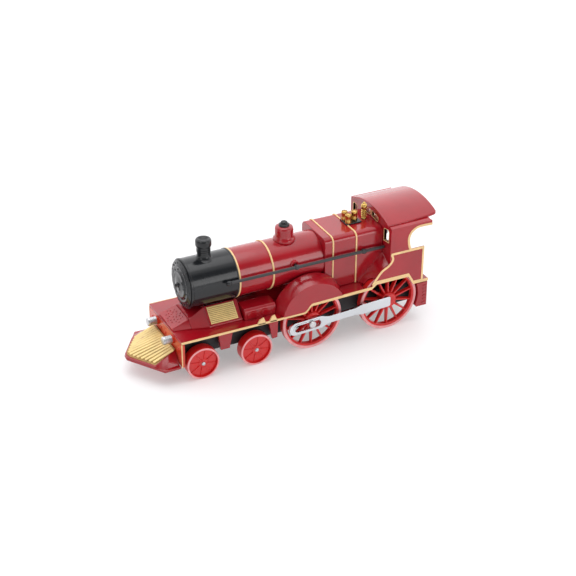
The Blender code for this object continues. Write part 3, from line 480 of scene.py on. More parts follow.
def front_pad():
    """Raised pad on the front deck with sloping flanks that run into the saddle."""
    z = LOW_Z + LOW_T - 0.1
    pad = loft("front_pad", [
        [(71.6, -10.2, z), (71.6, -10.2, 28.1), (71.6, 10.2, 28.1), (71.6, 10.2, z)],
        [(61.3, -9.6, z), (61.3, -9.6, 31.5), (61.3, 9.6, 31.5), (61.3, 9.6, z)]], PAD_RED)
    soften(pad, 0.3, 3)
    flanks = []
    for word, side in SIDES:
        flank = loft("flank", [
            [(71.4, side * 9.9, z), (71.4, side * 9.9, 28.0), (71.4, side * 10.9, 26.9),
             (71.4, side * 10.9, z)],
            [(61.3, side * 9.0, z), (61.3, side * 9.0, 31.3), (61.3, side * 13.6, 27.5),
             (61.3, side * 13.6, z)]])
        flanks.append(soften(flank, 0.12))
    studs, golden_angle = 24, 2.399963
    for i in range(studs):
        a = i * golden_angle
        r = 0.9 + 7.2 * math.sqrt(i / studs)
        x, y = 66.5 + 0.55 * r * math.cos(a), r * math.sin(a)
        top = 28.1 + (71.6 - x) * 0.33
        stone = bar("stud", "Z", (x, y, 0), 0.55, top - 0.5, top + 0.34, PAD_RED, 12, 0.28)
        flanks.append(stone)
    show(pad)
    show(fuse("front_pad_flanks", flanks))


def buffer_beam():
    """Red beam lightened to orange, painted light reflected from the gold, with its two grooved
    buffers, bolts and gold corner strips.
    """
    beam = block("buffer_beam_face", (70.2, -24.8, 9.9), (BEAM_X, 24.8, 25.1), BEAM_RED_PAINTED_BOUNCE)
    show(soften(beam), replaces=["buffer_beam"])
    strips = []
    for word, side in SIDES:
        y0, y1 = span(side, 24.5, 24.95)
        strips.append(soften(block("strip", (71.7, y0, 9.9), (72.35, y1, 25.2), GOLD), 0.1))
        sleeve = [(0, 1.3), (2.2, 1.3), (2.6, 1.0), (2.6, 0.0), (0, 0.0)]
        centre = (BEAM_X, side * BUFFER_Y, BUFFER_Z)
        strips.append(turned("sleeve", sleeve, "X", centre, BEAM_RED_PAINTED_BOUNCE, 40))
        profile = [(0, 6.8), (1.7, 6.75), (2.3, 6.5), (2.55, 6.1), (2.55, 5.4)]
        for k in range(4):
            base = 5.2 - k * 1.05
            profile += [(2.15, base), (2.15, base - 0.35), (2.45, base - 0.5), (2.45, base - 0.85)]
        profile += [(2.15, 1.2), (2.15, 0.3), (0, 0.3)]
        head = turned("buffer_" + word + "_turned", profile, "X", centre, PLATED, 48)
        show(head, replaces=["buffer_" + word])
    for y in (-20, -6.5, 0, 6.5, 20):
        dome = [(0, 0.75), (0.45, 0.65), (0.75, 0.3), (0.8, 0.0), (0, 0.0)]
        strips.append(turned("bolt", dome, "X", (72.15, y, 20.4), BEAM_RED_PAINTED_BOUNCE, 16))
    show(fuse("buffer_beam_trim", strips))


def pilot():
    """Sloping slatted plate in a red border with wedge-shaped sides."""
    border = [(72.5, -24.0), (82.7, -24.3), (97.4, -1.9), (97.4, 1.9), (82.7, 24.3), (72.5, 24.0)]
    base = prism("pilot_border", [border], "Z", 9.0, 10.3)
    soften(base, 0.3, 3)
    rows = []
    for y_back, y_front, x_front, z_front in (
            (-15.4, -18.2, 86.6, 10.9), (-1.8, -1.85, 97.2, 11.3),
            (1.8, 1.85, 97.2, 11.3), (15.4, 18.2, 86.6, 10.9)):
        rows.append([(72.5, y_back, 9.4), (72.5, y_back, 17.1), (x_front, y_front, z_front),
                     (x_front, y_front, 9.4)])
    wedge = soften(loft("wedge", rows), 0.2)
    cheeks = [base, wedge]
    for word, side in SIDES:
        cheek = loft("cheek", [
            [(72.5, side * 15.0, 9.6), (72.5, side * 15.0, 17.0), (72.5, side * 21.5, 9.9)],
            [(86.4, side * 18.0, 9.6), (86.4, side * 18.0, 10.9), (82.6, side * 23.0, 9.9)]])
        cheeks.append(soften(cheek, 0.15))
    show(fuse("pilot_border_and_wedge", cheeks), replaces=["pilot_frame"])

    def front_at(y):
        """X and Z of the plate's pointed front edge."""
        share = max(0.0, min(1.0, (abs(y) - 1.8) / (17.3 - 1.8)))
        return 96.9 + (86.2 - 96.9) * share, 12.0 + (11.3 - 12.0) * share

    ribs = []
    sections = []
    for i in range(13):
        share = 2 * i / 12 - 1
        y_back, y_front = share * 15.0, share * 17.1
        x, z = front_at(y_front)
        sections.append([(72.6, y_back, 16.9), (72.6, y_back, 17.65), (x - 0.5, y_front, z + 0.05),
                         (x - 0.5, y_front, z - 0.7)])
    # The sheet between the slats is in the darker gold, painted shade in the grooves.
    sheet = loft("pilot_sheet", sections, SHADED_GROOVE_GOLD)
    ribs.append(soften(sheet, 0.12))
    count, pitch, half, lift = 14, 2.3, 1.02, 0.34
    for i in range(count):
        y = (i - (count - 1) / 2) * pitch
        x_end, z_end = front_at(y)
        slope = (z_end - 17.65) / (x_end - 72.6)
        rows = []
        for x in (73.6, x_end - 1.7):
            z = 17.65 + slope * (x - 72.6)
            rows.append([(x, y - half, z - 0.2), (x, y - half * 0.86, z + lift),
                         (x, y + half * 0.86, z + lift), (x, y + half, z - 0.2)])
        ribs.append(soften(loft("rib", rows, PLATE_GOLD), 0.12))
    show(fuse("pilot_slats", ribs), replaces=["pilot_plate"])


def saddle():
    """Smokebox saddle with a tapered nose and a slatted grille on each slope."""
    foot = LOW_Z + LOW_T - 0.1
    half = [(0.0, 34.9), (5.0, 35.5), (8.6, 37.0), (17.2, 27.9), (17.2, foot)]
    outline = half + mirror(half[1:])
    rear = soften(prism("saddle_rear", [outline], "X", 30.4, 51.4), 0.3, 3)
    stations = [(50.9, [(0.0, 34.85), (5.0, 35.4), (8.5, 36.85), (17.1, 27.85), (17.1, foot)]),
                (61.2, [(0.0, 34.2), (5.0, 33.9), (9.5, 31.4), (13.7, 27.5), (13.7, foot)])]
    rows = [[(x, y, z) for y, z in rim + mirror(rim[1:])] for x, rim in stations]
    body = fuse("saddle_casting", [rear, soften(loft("nose", rows), 0.2, 2)])
    show(body, replaces=["smokebox_saddle"])
    lean = math.atan2(37.0 - 27.9, 17.2 - 8.6)
    for word, side in SIDES:
        place = Matrix.Translation(Vector((41.5, side * 12.9, 32.45)) * MM) \
            @ Matrix.Rotation(-side * lean, 4, "X")
        # The grille's back is in the darker gold, painted shade behind the slats.
        parts = [soften(block("back", (-8.6, -5.4, -0.3), (8.6, 5.2, 0.05), SHADED_GROOVE_GOLD), 0.05)]
        for i in range(10):
            y = (i - 4.5) * 1.06
            slat = block("slat", (-8.4, y - 0.36, -0.1), (8.4, y + 0.36, 0.55), PLATE_GOLD)
            parts.append(soften(slat, 0.16))
        for x in (-8.3, 8.3):
            parts.append(soften(block("edge", (x - 0.25, -5.4, -0.1), (x + 0.25, 5.2, 0.5),
                                      PLATE_GOLD), 0.1))
        for x in (-9.1, 9.1):
            jamb = block("jamb", (x - 0.45, -5.9, -0.3), (x + 0.45, 5.7, 0.75), RED)
            parts.append(soften(jamb, 0.15))
        parts.append(soften(block("sill", (-9.5, -5.9, -0.3), (9.5, -5.45, 0.5), RED), 0.12))
        panel = fuse("grille_panel_" + word, parts)
        panel.data.transform(place)
        show(panel, replaces=["grille_" + word])


def cylinders():
    """Cylinder blocks beside the boiler, with two riveted covers each."""
    foot = LOW_Z + LOW_T - 0.1
    for word, side in SIDES:
        half = [(9.0, foot), (18.4, foot), (18.4, 32.6), (17.2, 33.8), (9.0, 34.6)]
        outline = half if side > 0 else mirror(half)
        parts = [soften(prism("cylinder", [outline], "X", 9.6, 29.6), 0.35, 3)]
        y0, y1 = span(side, 18.1, 18.75)
        for x0, x1 in ((11.6, 18.6), (20.6, 27.8)):
            parts.append(soften(block("cover", (x0, y0, foot + 1.0), (x1, y1, 31.4)), 0.25))
            for x in (x0 + 0.9, x1 - 0.9):
                for z in (foot + 1.9, 30.5):
                    dome = [(0, 0.42), (0.3, 0.34), (0.42, 0.0), (0, 0.0)]
                    spot = (x, side * 18.7, z)
                    parts.append(turned("rivet", dome, outward(side), spot, RED, 12))
        show(fuse("cylinder_casting_" + word, parts),
             replaces=["cylinder_block_" + word])


def wheel_well(piece, index, radius, side, inner, outer):
    """Room for a driving wheel, cut from below into a cover."""
    centre = (DRIVER_X[index], 0, DRIVER_R)
    return cut(piece, bar("well", "+Y", centre, radius, *span(side, inner, outer), RED, 72))


def splashers():
    """Cover over each front driving wheel, its top rising towards the boiler."""
    centre = (-13.0, 23.0)
    for word, side in SIDES:
        def section(y, radius):
            start = math.degrees(math.asin((plate_top(0) - 0.1 - centre[1]) / radius))
            end = 180 - math.degrees(math.asin((plate_top(-32) - 0.1 - centre[1]) / radius))
            points = arc(centre, radius, start, end, 44)
            points += [(x, plate_top(x) - 0.1) for x in (-31.5, -11.7, -10.5, -9.05, -7.6, -6.4)]
            return [(x, side * y, z) for x, z in points]
        guard = loft("splasher_cover_" + word, [
            section(15.6, 23.6), section(20.0, 22.4), section(24.3, 20.9), section(24.9, 20.75)])
        wheel_well(guard, 0, 20.2, side, 18.2, 24.0)
        soften(guard, 0.3, 3, 40)
        show(guard, replaces=["splasher_" + word])


def rear_steps():
    """Rear beam and the ribbed step blocks behind the rear wheels."""
    parts = [soften(block("beam", (-90.5, -20.0, 13.6), (-88.3, 20.0, 26.8)), 0.25)]
    steps = [(-90.6, 27.0), (-90.6, 10.4), (-83.4, 10.4)]
    steps += arc((DRIVER_X[1], DRIVER_R), 20.1, 203, 159, 24)
    for word, side in SIDES:
        parts.append(soften(side_prism("step", [steps], side, 19.6, HALF_W), 0.3, 3))
        y0, y1 = span(side, HALF_W - 0.3, HALF_W + 0.45)
        for i in range(6):
            z = 12.2 + 2.35 * i
            parts.append(soften(block("tread", (-89.9, y0, z), (-87.4, y1, z + 0.95)), 0.3, 3))
    show(fuse("rear_step_castings", parts), replaces=["rear_steps"])


# ---- boiler line
def boiler():
    """Barrel with its gold bands, smokebox and stepped smokebox door."""
    middle = (0, 0, BOILER_Z)
    tube = [(12.8, 30.9), (BOILER_R, 30.9), (BOILER_R, -24.2), (12.8, -24.2)]
    barrel = turned("barrel_skin", tube, "X", middle, RED, 128, ring=True)
    show(barrel, replaces=["boiler_barrel"])
    bands = []
    for x in (30.35, 8.85):
        ring = [(BOILER_R - 0.1, x + 0.5), (BOILER_R + 0.4, x + 0.5), (BOILER_R + 0.5, x + 0.3),
                (BOILER_R + 0.5, x - 0.3), (BOILER_R + 0.4, x - 0.5), (BOILER_R - 0.1, x - 0.5)]
        bands.append(turned("band", ring, "X", middle, GOLD, 128, ring=True))
    show(fuse("boiler_band_rings", bands))
    ring = [(SMOKE_R - 0.2, 31.6), (SMOKE_R + 0.2, 31.6), (SMOKE_R + 0.25, 31.4),
            (SMOKE_R + 0.25, 31.0), (SMOKE_R - 0.2, 31.0)]
    rim = turned("smokebox_rear_rim", ring, "X", middle, RAIL_GREY, 128, ring=True)
    show(rim)
    smoke = [(13.0, 60.6), (SMOKE_R - 0.2, 60.6), (SMOKE_R + 0.25, 60.2), (SMOKE_R + 0.25, 59.4),
             (SMOKE_R, 59.1), (SMOKE_R, 31.1), (13.0, 31.1)]
    skin = turned("smokebox_skin", smoke, "X", middle, BLACK, 128, ring=True)
    show(skin, replaces=["smokebox"])
    face = 60.9
    door = [(0, face + 2.55), (2.2, face + 2.5), (4.6, face + 2.2), (6.8, face + 1.7),
            (7.3, face + 1.95), (8.0, face + 1.9), (8.3, face + 1.3), (9.6, face + 0.95),
            (10.3, face + 1.35), (11.2, face + 1.3), (11.5, face + 0.7), (13.9, face + 0.55),
            (14.2, face + 0.2), (14.2, face), (0, face)]
    parts = [turned("door", door, "X", middle, BLACK, 96)]
    for count, offset, radius, x, steps, dome in (
            (20, 0, 12.75, face + 0.5, 12, [(0, 0.55), (0.35, 0.45), (0.6, 0.0), (0, 0.0)]),
            (12, 0.5, 9.0, face + 1.6, 10, [(0, -0.05), (0.3, -0.1), (0.45, -0.6), (0, -0.6)])):
        for i in range(count):
            angle = 2 * math.pi * (i + offset) / count
            spot = (x, radius * math.cos(angle), BOILER_Z + radius * math.sin(angle))
            parts.append(turned("rivet", dome, "X", spot, BLACK, steps))
    boss = [(0, face + 4.5), (0.6, face + 4.4), (0.9, face + 4.0), (0.9, face + 3.2),
            (1.5, face + 3.0), (1.7, face + 2.3), (0, face + 2.3)]
    parts.append(turned("boss", boss, "X", middle, BLACK, 24))
    arm = soften(block("arm", (face + 3.3, -0.45, BOILER_Z - 4.6), (face + 4.0, 0.45, BOILER_Z),
                       BLACK), 0.2)
    parts.append(arm)
    show(fuse("smokebox_door_casting", parts), replaces=["smokebox_door"])


def seat(piece, radius):
    """Hollow a fitting's foot to sit on the boiler."""
    return cut(piece, bar("seat", "X", (0, 0, BOILER_Z), radius, -80, 80, RED, 128))


def chimney():
    profile = [(0, 75.2), (1.6, 75.3), (2.6, 75.8), (3.4, 76.3), (4.2, 76.1), (4.65, 75.5),
               (4.75, 74.6), (4.75, 72.6), (4.55, 71.9), (4.0, 71.5), (3.95, 70.9), (3.95, 67.0),
               (4.1, 66.0), (4.5, 65.1), (5.3, 64.3), (6.2, 63.8), (6.2, 61.0), (0, 61.0)]
    stack = turned("chimney_turned", profile, "Z", (CHIMNEY_X, 0, 0), BLACK, 64, smooth=40)
    seat(stack, SMOKE_R + 0.02)
    parts = [stack]
    for z in (68.6, 69.7):
        ring = [(3.8, z + 0.25), (4.15, z + 0.2), (4.15, z - 0.2), (3.8, z - 0.25)]
        parts.append(turned("ring", ring, "Z", (CHIMNEY_X, 0, 0), BLACK, 48, ring=True))
    show(fuse("chimney_stack", parts), replaces=["chimney"])


def dome():
    profile = [(0, 73.1), (3.4, 73.1), (4.5, 72.9), (5.2, 72.4), (5.45, 71.6), (5.5, 70.6),
               (5.5, 67.4), (5.6, 66.6), (6.0, 66.0), (6.5, 65.5), (6.7, 64.8), (6.75, 61.0),
               (0, 61.0)]
    casing = turned("dome_turned", profile, "Z", (DOME_X, 0, 0), RED, 64, smooth=40)
    seat(casing, BOILER_R + 0.02)
    show(casing, replaces=["steam_dome"])
    cap = [(0, 76.1), (1.3, 76.0), (1.9, 75.6), (2.1, 75.1), (2.4, 74.7), (3.0, 74.3),
           (3.2, 73.8), (3.2, 72.9), (0, 72.9)]
    top = turned("dome_cap_turned", cap, "Z", (DOME_X, 0, 0), BLACK, 40)
    show(top, replaces=["dome_cap"])


def firebox_arch(grow):
    """Half outline of the firebox from its foot to the middle of its top, moved out by grow."""
    side, top = 15.2 + grow, 65.7 + grow
    corner = arc((side - 3.8, top - 3.8), 3.8, 0, 90, 8)
    return [(side, 32.4)] + corner


def firebox():
    """Hollow square-shouldered firebox with two gold bands."""
    outer = firebox_arch(0.0)
    shell = prism("firebox_casting", [outer + mirror(outer)], "X", -63.2, -24.3)
    inner = [(13.6, 30.0)] + firebox_arch(-1.6)[1:]
    cut(shell, prism("inside", [inner + mirror(inner)], "X", -65.0, -25.9))
    cut(shell, block("heel", (-64, -20, 30), (-50.9, 20, 35.0)))
    soften(shell, 0.35, 3, 30)
    show(shell, replaces=["firebox"])
    bands = []
    low, high = firebox_arch(-0.2), firebox_arch(0.45)
    low[0], high[0] = (low[0][0], 32.6), (high[0][0], 32.6)
    ring = high + mirror(high) + list(reversed(low + mirror(low)))
    for x in (-29.6, -45.2):
        bands.append(soften(prism("band", [ring], "X", x - 0.45, x + 0.45, GOLD), 0.15, 2, 50))
    show(fuse("firebox_band_arches", bands))


def handrails():
    """Rail along each side of the boiler, on three knobs."""
    for word, side in SIDES:
        y = side * RAIL_Y
        parts = [bar("rail", "X", (0, y, RAIL_Z), 0.9, -63.2, 40.2, RAIL_GREY, 24, 0.25)]
        axis = outward(side)
        for x in (38.7, DOME_X, -49.5):
            on_firebox, on_smokebox = x < -24, x > 30
            foot = 15.15 if on_firebox else math.sqrt(BOILER_R ** 2 - (RAIL_Z - BOILER_Z) ** 2)
            knob = [(0, 1.5), (0.8, 1.35), (1.35, 0.8), (1.55, 0.0), (1.35, -0.8), (0.85, -1.3),
                    (0.7, -1.6), (0.7, foot - RAIL_Y), (0, foot - RAIL_Y)]
            paint = BLACK if on_smokebox else RAIL_GREY
            parts.append(turned("knob", knob, axis, (x, y, RAIL_Z), paint, 24, smooth=50))
            parts.append(bar("nut", "X", (x, y, RAIL_Z), 1.35, -1.5, 1.5, paint, 20, 0.4))
        show(fuse("handrail_moulding_" + word, parts),
             replaces=["handrail_" + word])
        ring = [(1.3, 0.2), (2.3, 0.2), (2.6, -0.2), (2.6, -2.0), (1.3, -2.0)]
        boss = turned("handrail_boss_" + word, ring, axis, (DOME_X, side * 14.7, 53.9), RED, 32,
                      ring=True)
        show(boss)


def valves():
    """Three safety valves on a foot painted black as shade under them, and the whistle in front of
    the cab.
    """
    # The foot plate's black is painted shade: it stands for the dark patch under the valves.
    plate = block("foot", (-54.6, -4.3, FIREBOX_TOP - 0.1), (-44.3, 4.3, FIREBOX_TOP + 0.8), BLACK)
    parts = [soften(plate, 0.25, 3)]
    for x, y in ((-46.4, 2.4), (-46.4, -2.4), (-51.8, 0.0)):
        can = [(0, 72.2), (1.2, 72.2), (1.25, 71.9), (1.5, 71.9), (1.55, 72.25), (1.75, 72.2),
               (1.9, 71.9), (1.9, 70.6), (1.8, 70.4), (1.8, 68.4), (1.95, 68.1), (1.95, 66.7),
               (0, 66.7)]
        parts.append(turned("can", can, "Z", (x, y, 0), BRASS, 32))
    show(fuse("safety_valve_set", parts), replaces=["safety_valves"])
    rings = [(0, 76.7), (0.5, 76.65), (0.8, 76.4), (0.9, 75.6), (1.4, 75.4), (1.85, 74.9),
             (1.9, 74.0), (1.9, 72.8), (1.6, 72.3), (1.1, 72.0)]
    for k in range(4):
        z = 71.7 - k * 1.2
        rings += [(1.55, z), (1.7, z - 0.2), (1.7, z - 0.5), (1.55, z - 0.7), (1.05, z - 0.9)]
    rings += [(1.5, 66.5), (1.6, FIREBOX_TOP), (0, FIREBOX_TOP)]
    whistle = turned("whistle_turned", rings, "Z", (WHISTLE_X, 0, 0), BRASS, 32, smooth=45)
    show(whistle, replaces=["whistle"])


# ---- cab
CUT_OUT = [(-91.6, 65.9), (-85.7, 66.1), (-81.8, 65.8), (-79.4, 64.7), (-77.6, 63.1),
           (-76.4, 60.1), (-76.5, 56.4), (-77.3, 53.4), (-78.5, 52.1)]
SWOOP = [(-52.4, 34.2), (-54.7, 37.2), (-58.6, 41.8), (-62.4, 44.2)]
WINDOWS = ([(16.4, 57.8), (21.9, 58.5), (21.9, 65.3), (20.6, 66.2), (16.9, 65.6), (16.4, 65.2)],
           [(1.2, 66.9), (7.6, 66.1), (8.6, 67.0), (8.4, 68.6), (7.6, 69.4), (1.2, 70.3)])


EDGE = HALF_W - 0.9  # inner face of the cab's side sheets
WING_LOW_Z = 32.6
WING_OUTER = [(-50.9, WING_LOW_Z), (-52.6, 34.4), (-54.7, 37.2), (-58.6, 41.6), (-63.5, 44.4)]
WING_INNER = [(-46.4, WING_LOW_Z), (-50.0, 36.0), (-54.0, 40.2), (-58.8, 45.0), (-63.5, 49.3)]
LEAD_LINE = [(-51.9, 33.4), (-54.3, 36.9), (-58.2, 41.4), (-63.0, 44.3), (-65.3, 47.9),
             (-64.3, 51.3)]
CUT_OUT_LINE = [(-91.6, 66.2), (-85.7, 66.45), (-81.7, 66.2), (-79.1, 65.0), (-77.1, 63.2),
                (-75.8, 60.2), (-75.9, 56.4), (-76.6, 53.4), (-77.7, 51.9)]
FOOT_LINE = [(-51.9, 33.6), (-54.9, 35.4), (-76.6, 35.4), (-80.2, 29.3), (-86.9, 29.3)]


def cab_wall():
    """Front wall under the roof's arch, with four windows."""
    foot = plate_top(-60) - 0.1
    under = ROOF_T + 0.02
    top = [(y, roof_z(y, ROOF_R - under, ROOF_CROWN - under))
           for y in [23.6 * (1 - i / 16) for i in range(33)]]
    outline = [(-EDGE, foot), (EDGE, foot), (EDGE, 67.0)] + top + [(-EDGE, 67.0)]
    holes = [[(s * y, z) for y, z in hole] for s in (1, -1) for hole in WINDOWS]
    return soften(prism("cab_front", [outline] + holes, "X", CAB_X - 1.6, CAB_X), 0.22, 2)


def cab_side(side):
    """Side sheet that sweeps down to the deck in front and is cut out behind."""
    sheet = smooth_path(SWOOP) + [(-63.3, 45.2), (-63.3, EAVES_Z)]
    sheet += [(-91.6, EAVES_Z)] + smooth_path(CUT_OUT, 5)
    sheet += [(CAB_REAR_X, BELT_Z + 0.6), (CAB_REAR_X, 28.9), (-80.4, 28.9), (-76.9, 34.9),
              (-55.0, 34.9)]
    return soften(side_prism("side", [sheet], side, EDGE - 0.1, HALF_W), 0.2, 2)


def cab_ledge(side):
    y0, y1 = span(side, 19.6, EDGE + 0.3)
    return soften(block("ledge", (-91.6, y0, 66.9), (-64.5, y1, EAVES_Z - 0.2)), 0.3, 3)


def cab_wing(side):
    """Wing between the firebox and the side sheet, rising inboard."""
    inner, outer = smooth_path(WING_INNER, 6), smooth_path(WING_OUTER, 6)
    rows = []
    for k in range(13):
        t = k / 12
        bend = t + 0.25 * t * (1 - t)
        y = side * (14.9 + 9.2 * t)
        row = [(xa + (xb - xa) * bend, y, za + (zb - za) * bend)
               for (xa, za), (xb, zb) in zip(inner, outer)]
        rows.append(row + [(-63.5, y, WING_LOW_Z)])
    return soften(wheel_well(loft("wing", rows), 1, 20.0, side, 18.2, 23.7), 0.0)


def cab_guard(side):
    """Cover over the rear driving wheel, inside the cab."""
    outline = arc((DRIVER_X[1], DRIVER_R), 20.95, 92, 139, 16)
    outline += [(-79.9, plate_top(-79.9)), (-76.7, plate_top(-76.7)), (-64.5, 35.0)]
    guard = side_prism("guard", [outline], side, 15.6, EDGE)
    return soften(wheel_well(guard, 1, 20.0, side, 18.2, 23.7), 0.2, 2, 40)


def cab_lines(side):
    """Raised gold lines of a side sheet, each of its own height so that no faces coincide."""
    outlines = [
        strip(smooth_path(LEAD_LINE, 6), 1.4),
        strip([(-64.0, BELT_Z - 0.1), (CAB_REAR_X, BELT_Z - 0.1)], 1.5),
        strip([(-86.25, BELT_Z + 0.6), (-86.25, 28.6)], 1.3),
        strip(smooth_path(CUT_OUT_LINE, 5), 1.5),
        strip(FOOT_LINE, 0.8),
    ]
    lines = []
    for k, outline in enumerate(outlines):
        step = 0.02 * k
        line = side_prism("line", [outline], side, HALF_W - 0.3 - step, HALF_W + 0.08 + step, GOLD)
        lines.append(soften(line, 0.1))
    return lines


def window_rims():
    rims = []
    for s in (1, -1):
        for hole in WINDOWS:
            ring = [(s * y, z) for y, z in hole]
            cy = sum(y for y, z in ring) / len(ring)
            cz = sum(z for y, z in ring) / len(ring)
            big = [(cy + (y - cy) * 1.16, cz + (z - cz) * 1.10) for y, z in ring]
            rim = prism("rim", [big, ring], "X", CAB_X - 1.75, CAB_X + 0.14, GOLD)
            rims.append(soften(rim, 0.08))
    return rims


def cab():
    parts, golds = [cab_wall()], []
    for word, side in SIDES:
        parts += [cab_side(side), cab_ledge(side), cab_wing(side), cab_guard(side)]
        golds += cab_lines(side)
    golds += window_rims()
    show(fuse("cab_casting", parts), replaces=["cab_body"])
    show(fuse("cab_gold_lines", golds))


def roof():
    """Arched roof whose plan tapers to the rear, and the cornice under its edges."""
    plan = [(-62.6, 22.0), (-70.0, 21.9), (-80.0, 21.5), (-91.0, 20.8), (-95.6, 20.15),
            (-96.9, 19.6), (-97.4, 18.4)]
    sections = []
    for x, half in plan:
        across = [half * (1 - i / 20) for i in range(41)]
        top = [(x, y, roof_z(y)) for y in across]
        low = [(x, y, roof_z(y, ROOF_R - ROOF_T, ROOF_CROWN - ROOF_T)) for y in across]
        sections.append(top + low[::-1])
    shell = loft("roof_casting", sections)
    soften(shell, 0.45, 3, 40)
    show(shell, replaces=["cab_roof"])
    coves = []
    for word, side in SIDES:
        rows = []
        for x, half in plan[:4]:
            z = roof_z(half - 0.6, ROOF_R - ROOF_T, ROOF_CROWN - ROOF_T)
            x = min(x, -63.45)
            rows.append([(x, side * y, height) for y, height in
                         ((half - 3.0, 67.0), (half - 3.0, z + 0.5), (half - 0.4, z + 0.4),
                          (half + 0.8, 68.95), (23.9, 68.85), (24.6, 68.45), (24.75, 67.8),
                          (24.75, 67.0))])
        coves.append(soften(loft("cove", rows), 0.2, 2))
    show(fuse("roof_coves", coves))


def cab_inside():
    """Backhead with its fire door, dials and pipes, and the reversing lever."""
    x = CAB_X - 1.9
    half = [(10.4, 35.4), (10.4, 53.0), (8.5, 56.5), (4.5, 58.5)]
    parts = [soften(prism("back", [half + mirror(half)], "X", x - 2.0, x, BLACK), 0.3, 3)]
    door = [(0, 1.2), (3.4, 1.2), (4.0, 0.8), (4.0, 0), (0, 0)]
    for (y, z), scale, paint in (((0, 46), 1.0, BLACK), ((5.2, 53), 0.5, BRASS),
                                 ((-5.2, 53), 0.5, BRASS), ((0, 55.0), 0.4, BRASS)):
        ring = [(r * scale, -h * scale) for r, h in reversed(door)]
        parts.append(turned("dial", ring, "X", (x - 1.9, y, z), paint, 32))
    for y in (-9.5, 9.5):
        parts.append(bar("pipe", "Z", (x - 2.4, y, 0), 0.45, 36, 50, BRASS, 16, 0.1))
    show(fuse("backhead_detail", parts), replaces=["backhead"])
    stem = [(-84.0, 30.4), (-82.5, 30.4), (-79.7, 45.6), (-80.8, 45.6)]
    parts = [soften(block("quadrant", (-85.2, -12.7, 28.9), (-81.4, -9.9, 30.9), BLACK), 0.3, 3),
             soften(prism("stem", [stem], "Y", -11.9, -10.7, BLACK), 0.25, 3)]
    ball = [(2.0 * math.sin(math.radians(a)), 46.5 + 2.0 * math.cos(math.radians(a)))
            for a in range(0, 181, 15)]
    ball[0], ball[-1] = (0, 48.5), (0, 44.5)
    parts.append(turned("ball", ball, "Z", (-80.25, -11.3, 0), BLACK, 32, smooth=60))
    show(fuse("lever_detail", parts), replaces=["reversing_lever"])


# ---- wheels and rods
def spoke(centre, angle, inner, outer, y0, y1, wide, narrow, side):
    """One tapered spoke along a ray in the wheel's plane."""
    along = Vector((math.cos(angle), 0, math.sin(angle)))
    across = Vector((-math.sin(angle), 0, math.cos(angle)))
    sections = []
    for radius, half, drop in ((inner, wide / 2, 0.0), (outer, narrow / 2, 0.5)):
        spine = Vector(centre) + along * radius
        low, high = y0, y1 - drop
        section = []
        for k, y in ((-1, low), (-0.55, high), (0.55, high), (1, low)):
            section.append(spine + across * half * k + Vector((0, side * y, 0)))
        sections.append(section)
    return loft("spoke", sections, WHEEL_RED)


def spokes(count, offset, edge, centre, *size):
    """Ring of even spokes, the first turned by a share of their spacing."""
    return [soften(spoke(centre, 2 * math.pi * (i + offset) / count, *size), edge)
            for i in range(count)]


def driving_wheels(index, word):
    """Spoked wheel with its painted rim, hub and crank pin on both sides of one axle."""
    x = DRIVER_X[index]
    body = word + "_driving_wheelset"
    for hand, side in SIDES:
        axis = outward(side)
        centre = (x, 0, DRIVER_R)
        rim = [(16.9, 23.2), (16.55, 22.7), (16.4, 20.4), (17.0, 19.3), (18.6, 19.0),
               (19.2, 19.0), (19.45, 19.3), (19.45, 22.9), (19.2, 23.2)]
        parts = [turned("rim", rim[::-1], axis, centre, WHEEL_RED, 128, ring=True)]
        ring = [(17.75, 23.45), (17.9, 23.6), (19.15, 23.6), (19.42, 23.3), (19.42, 22.7),
                (17.75, 22.7)]
        parts.append(turned("ring", ring, axis, centre, RIM_PINK, 128, ring=True))
        hub = [(0, 24.6), (1.4, 24.6), (1.6, 24.75), (4.0, 24.75), (4.7, 24.4), (5.1, 23.4),
               (5.3, 21.6), (5.3, 18.1), (0, 18.1)]
        parts.append(turned("hub", hub, axis, centre, WHEEL_RED, 48))
        parts += spokes(SPOKES, 0.5, 0.2, centre, 4.2, 17.2, 20.4, 22.9, 2.0, 1.25, side)
        pin = (x + CRANK[0], 0, DRIVER_R + CRANK[1])
        collar = [(1.2, 24.9), (2.0, 24.9), (2.2, 24.5), (2.2, 24.0), (1.2, 24.0)]
        parts.append(turned("collar", collar, axis, pin, WHEEL_RED, 24, ring=True))
        wheel = fuse(f"{word}_driving_wheel_{hand}_spoked", parts)
        show(wheel, body, [f"{word}_driving_wheel_{hand}"])
        if index == 0:
            shape = [(0, 28.75), (1.2, 28.85), (1.9, 28.6), (2.25, 28.1), (2.3, 27.7), (1.1, 27.5),
                     (1.1, 23.2), (0, 23.2)]
        else:
            shape = [(0, 26.4), (0.9, 26.4), (0.9, 23.2), (0, 23.2)]
        stud = turned(f"{word}_crank_pin_{hand}_turned", shape, axis, pin, PLATED, 32)
        show(stud, body, [f"{word}_crank_pin_{hand}"])


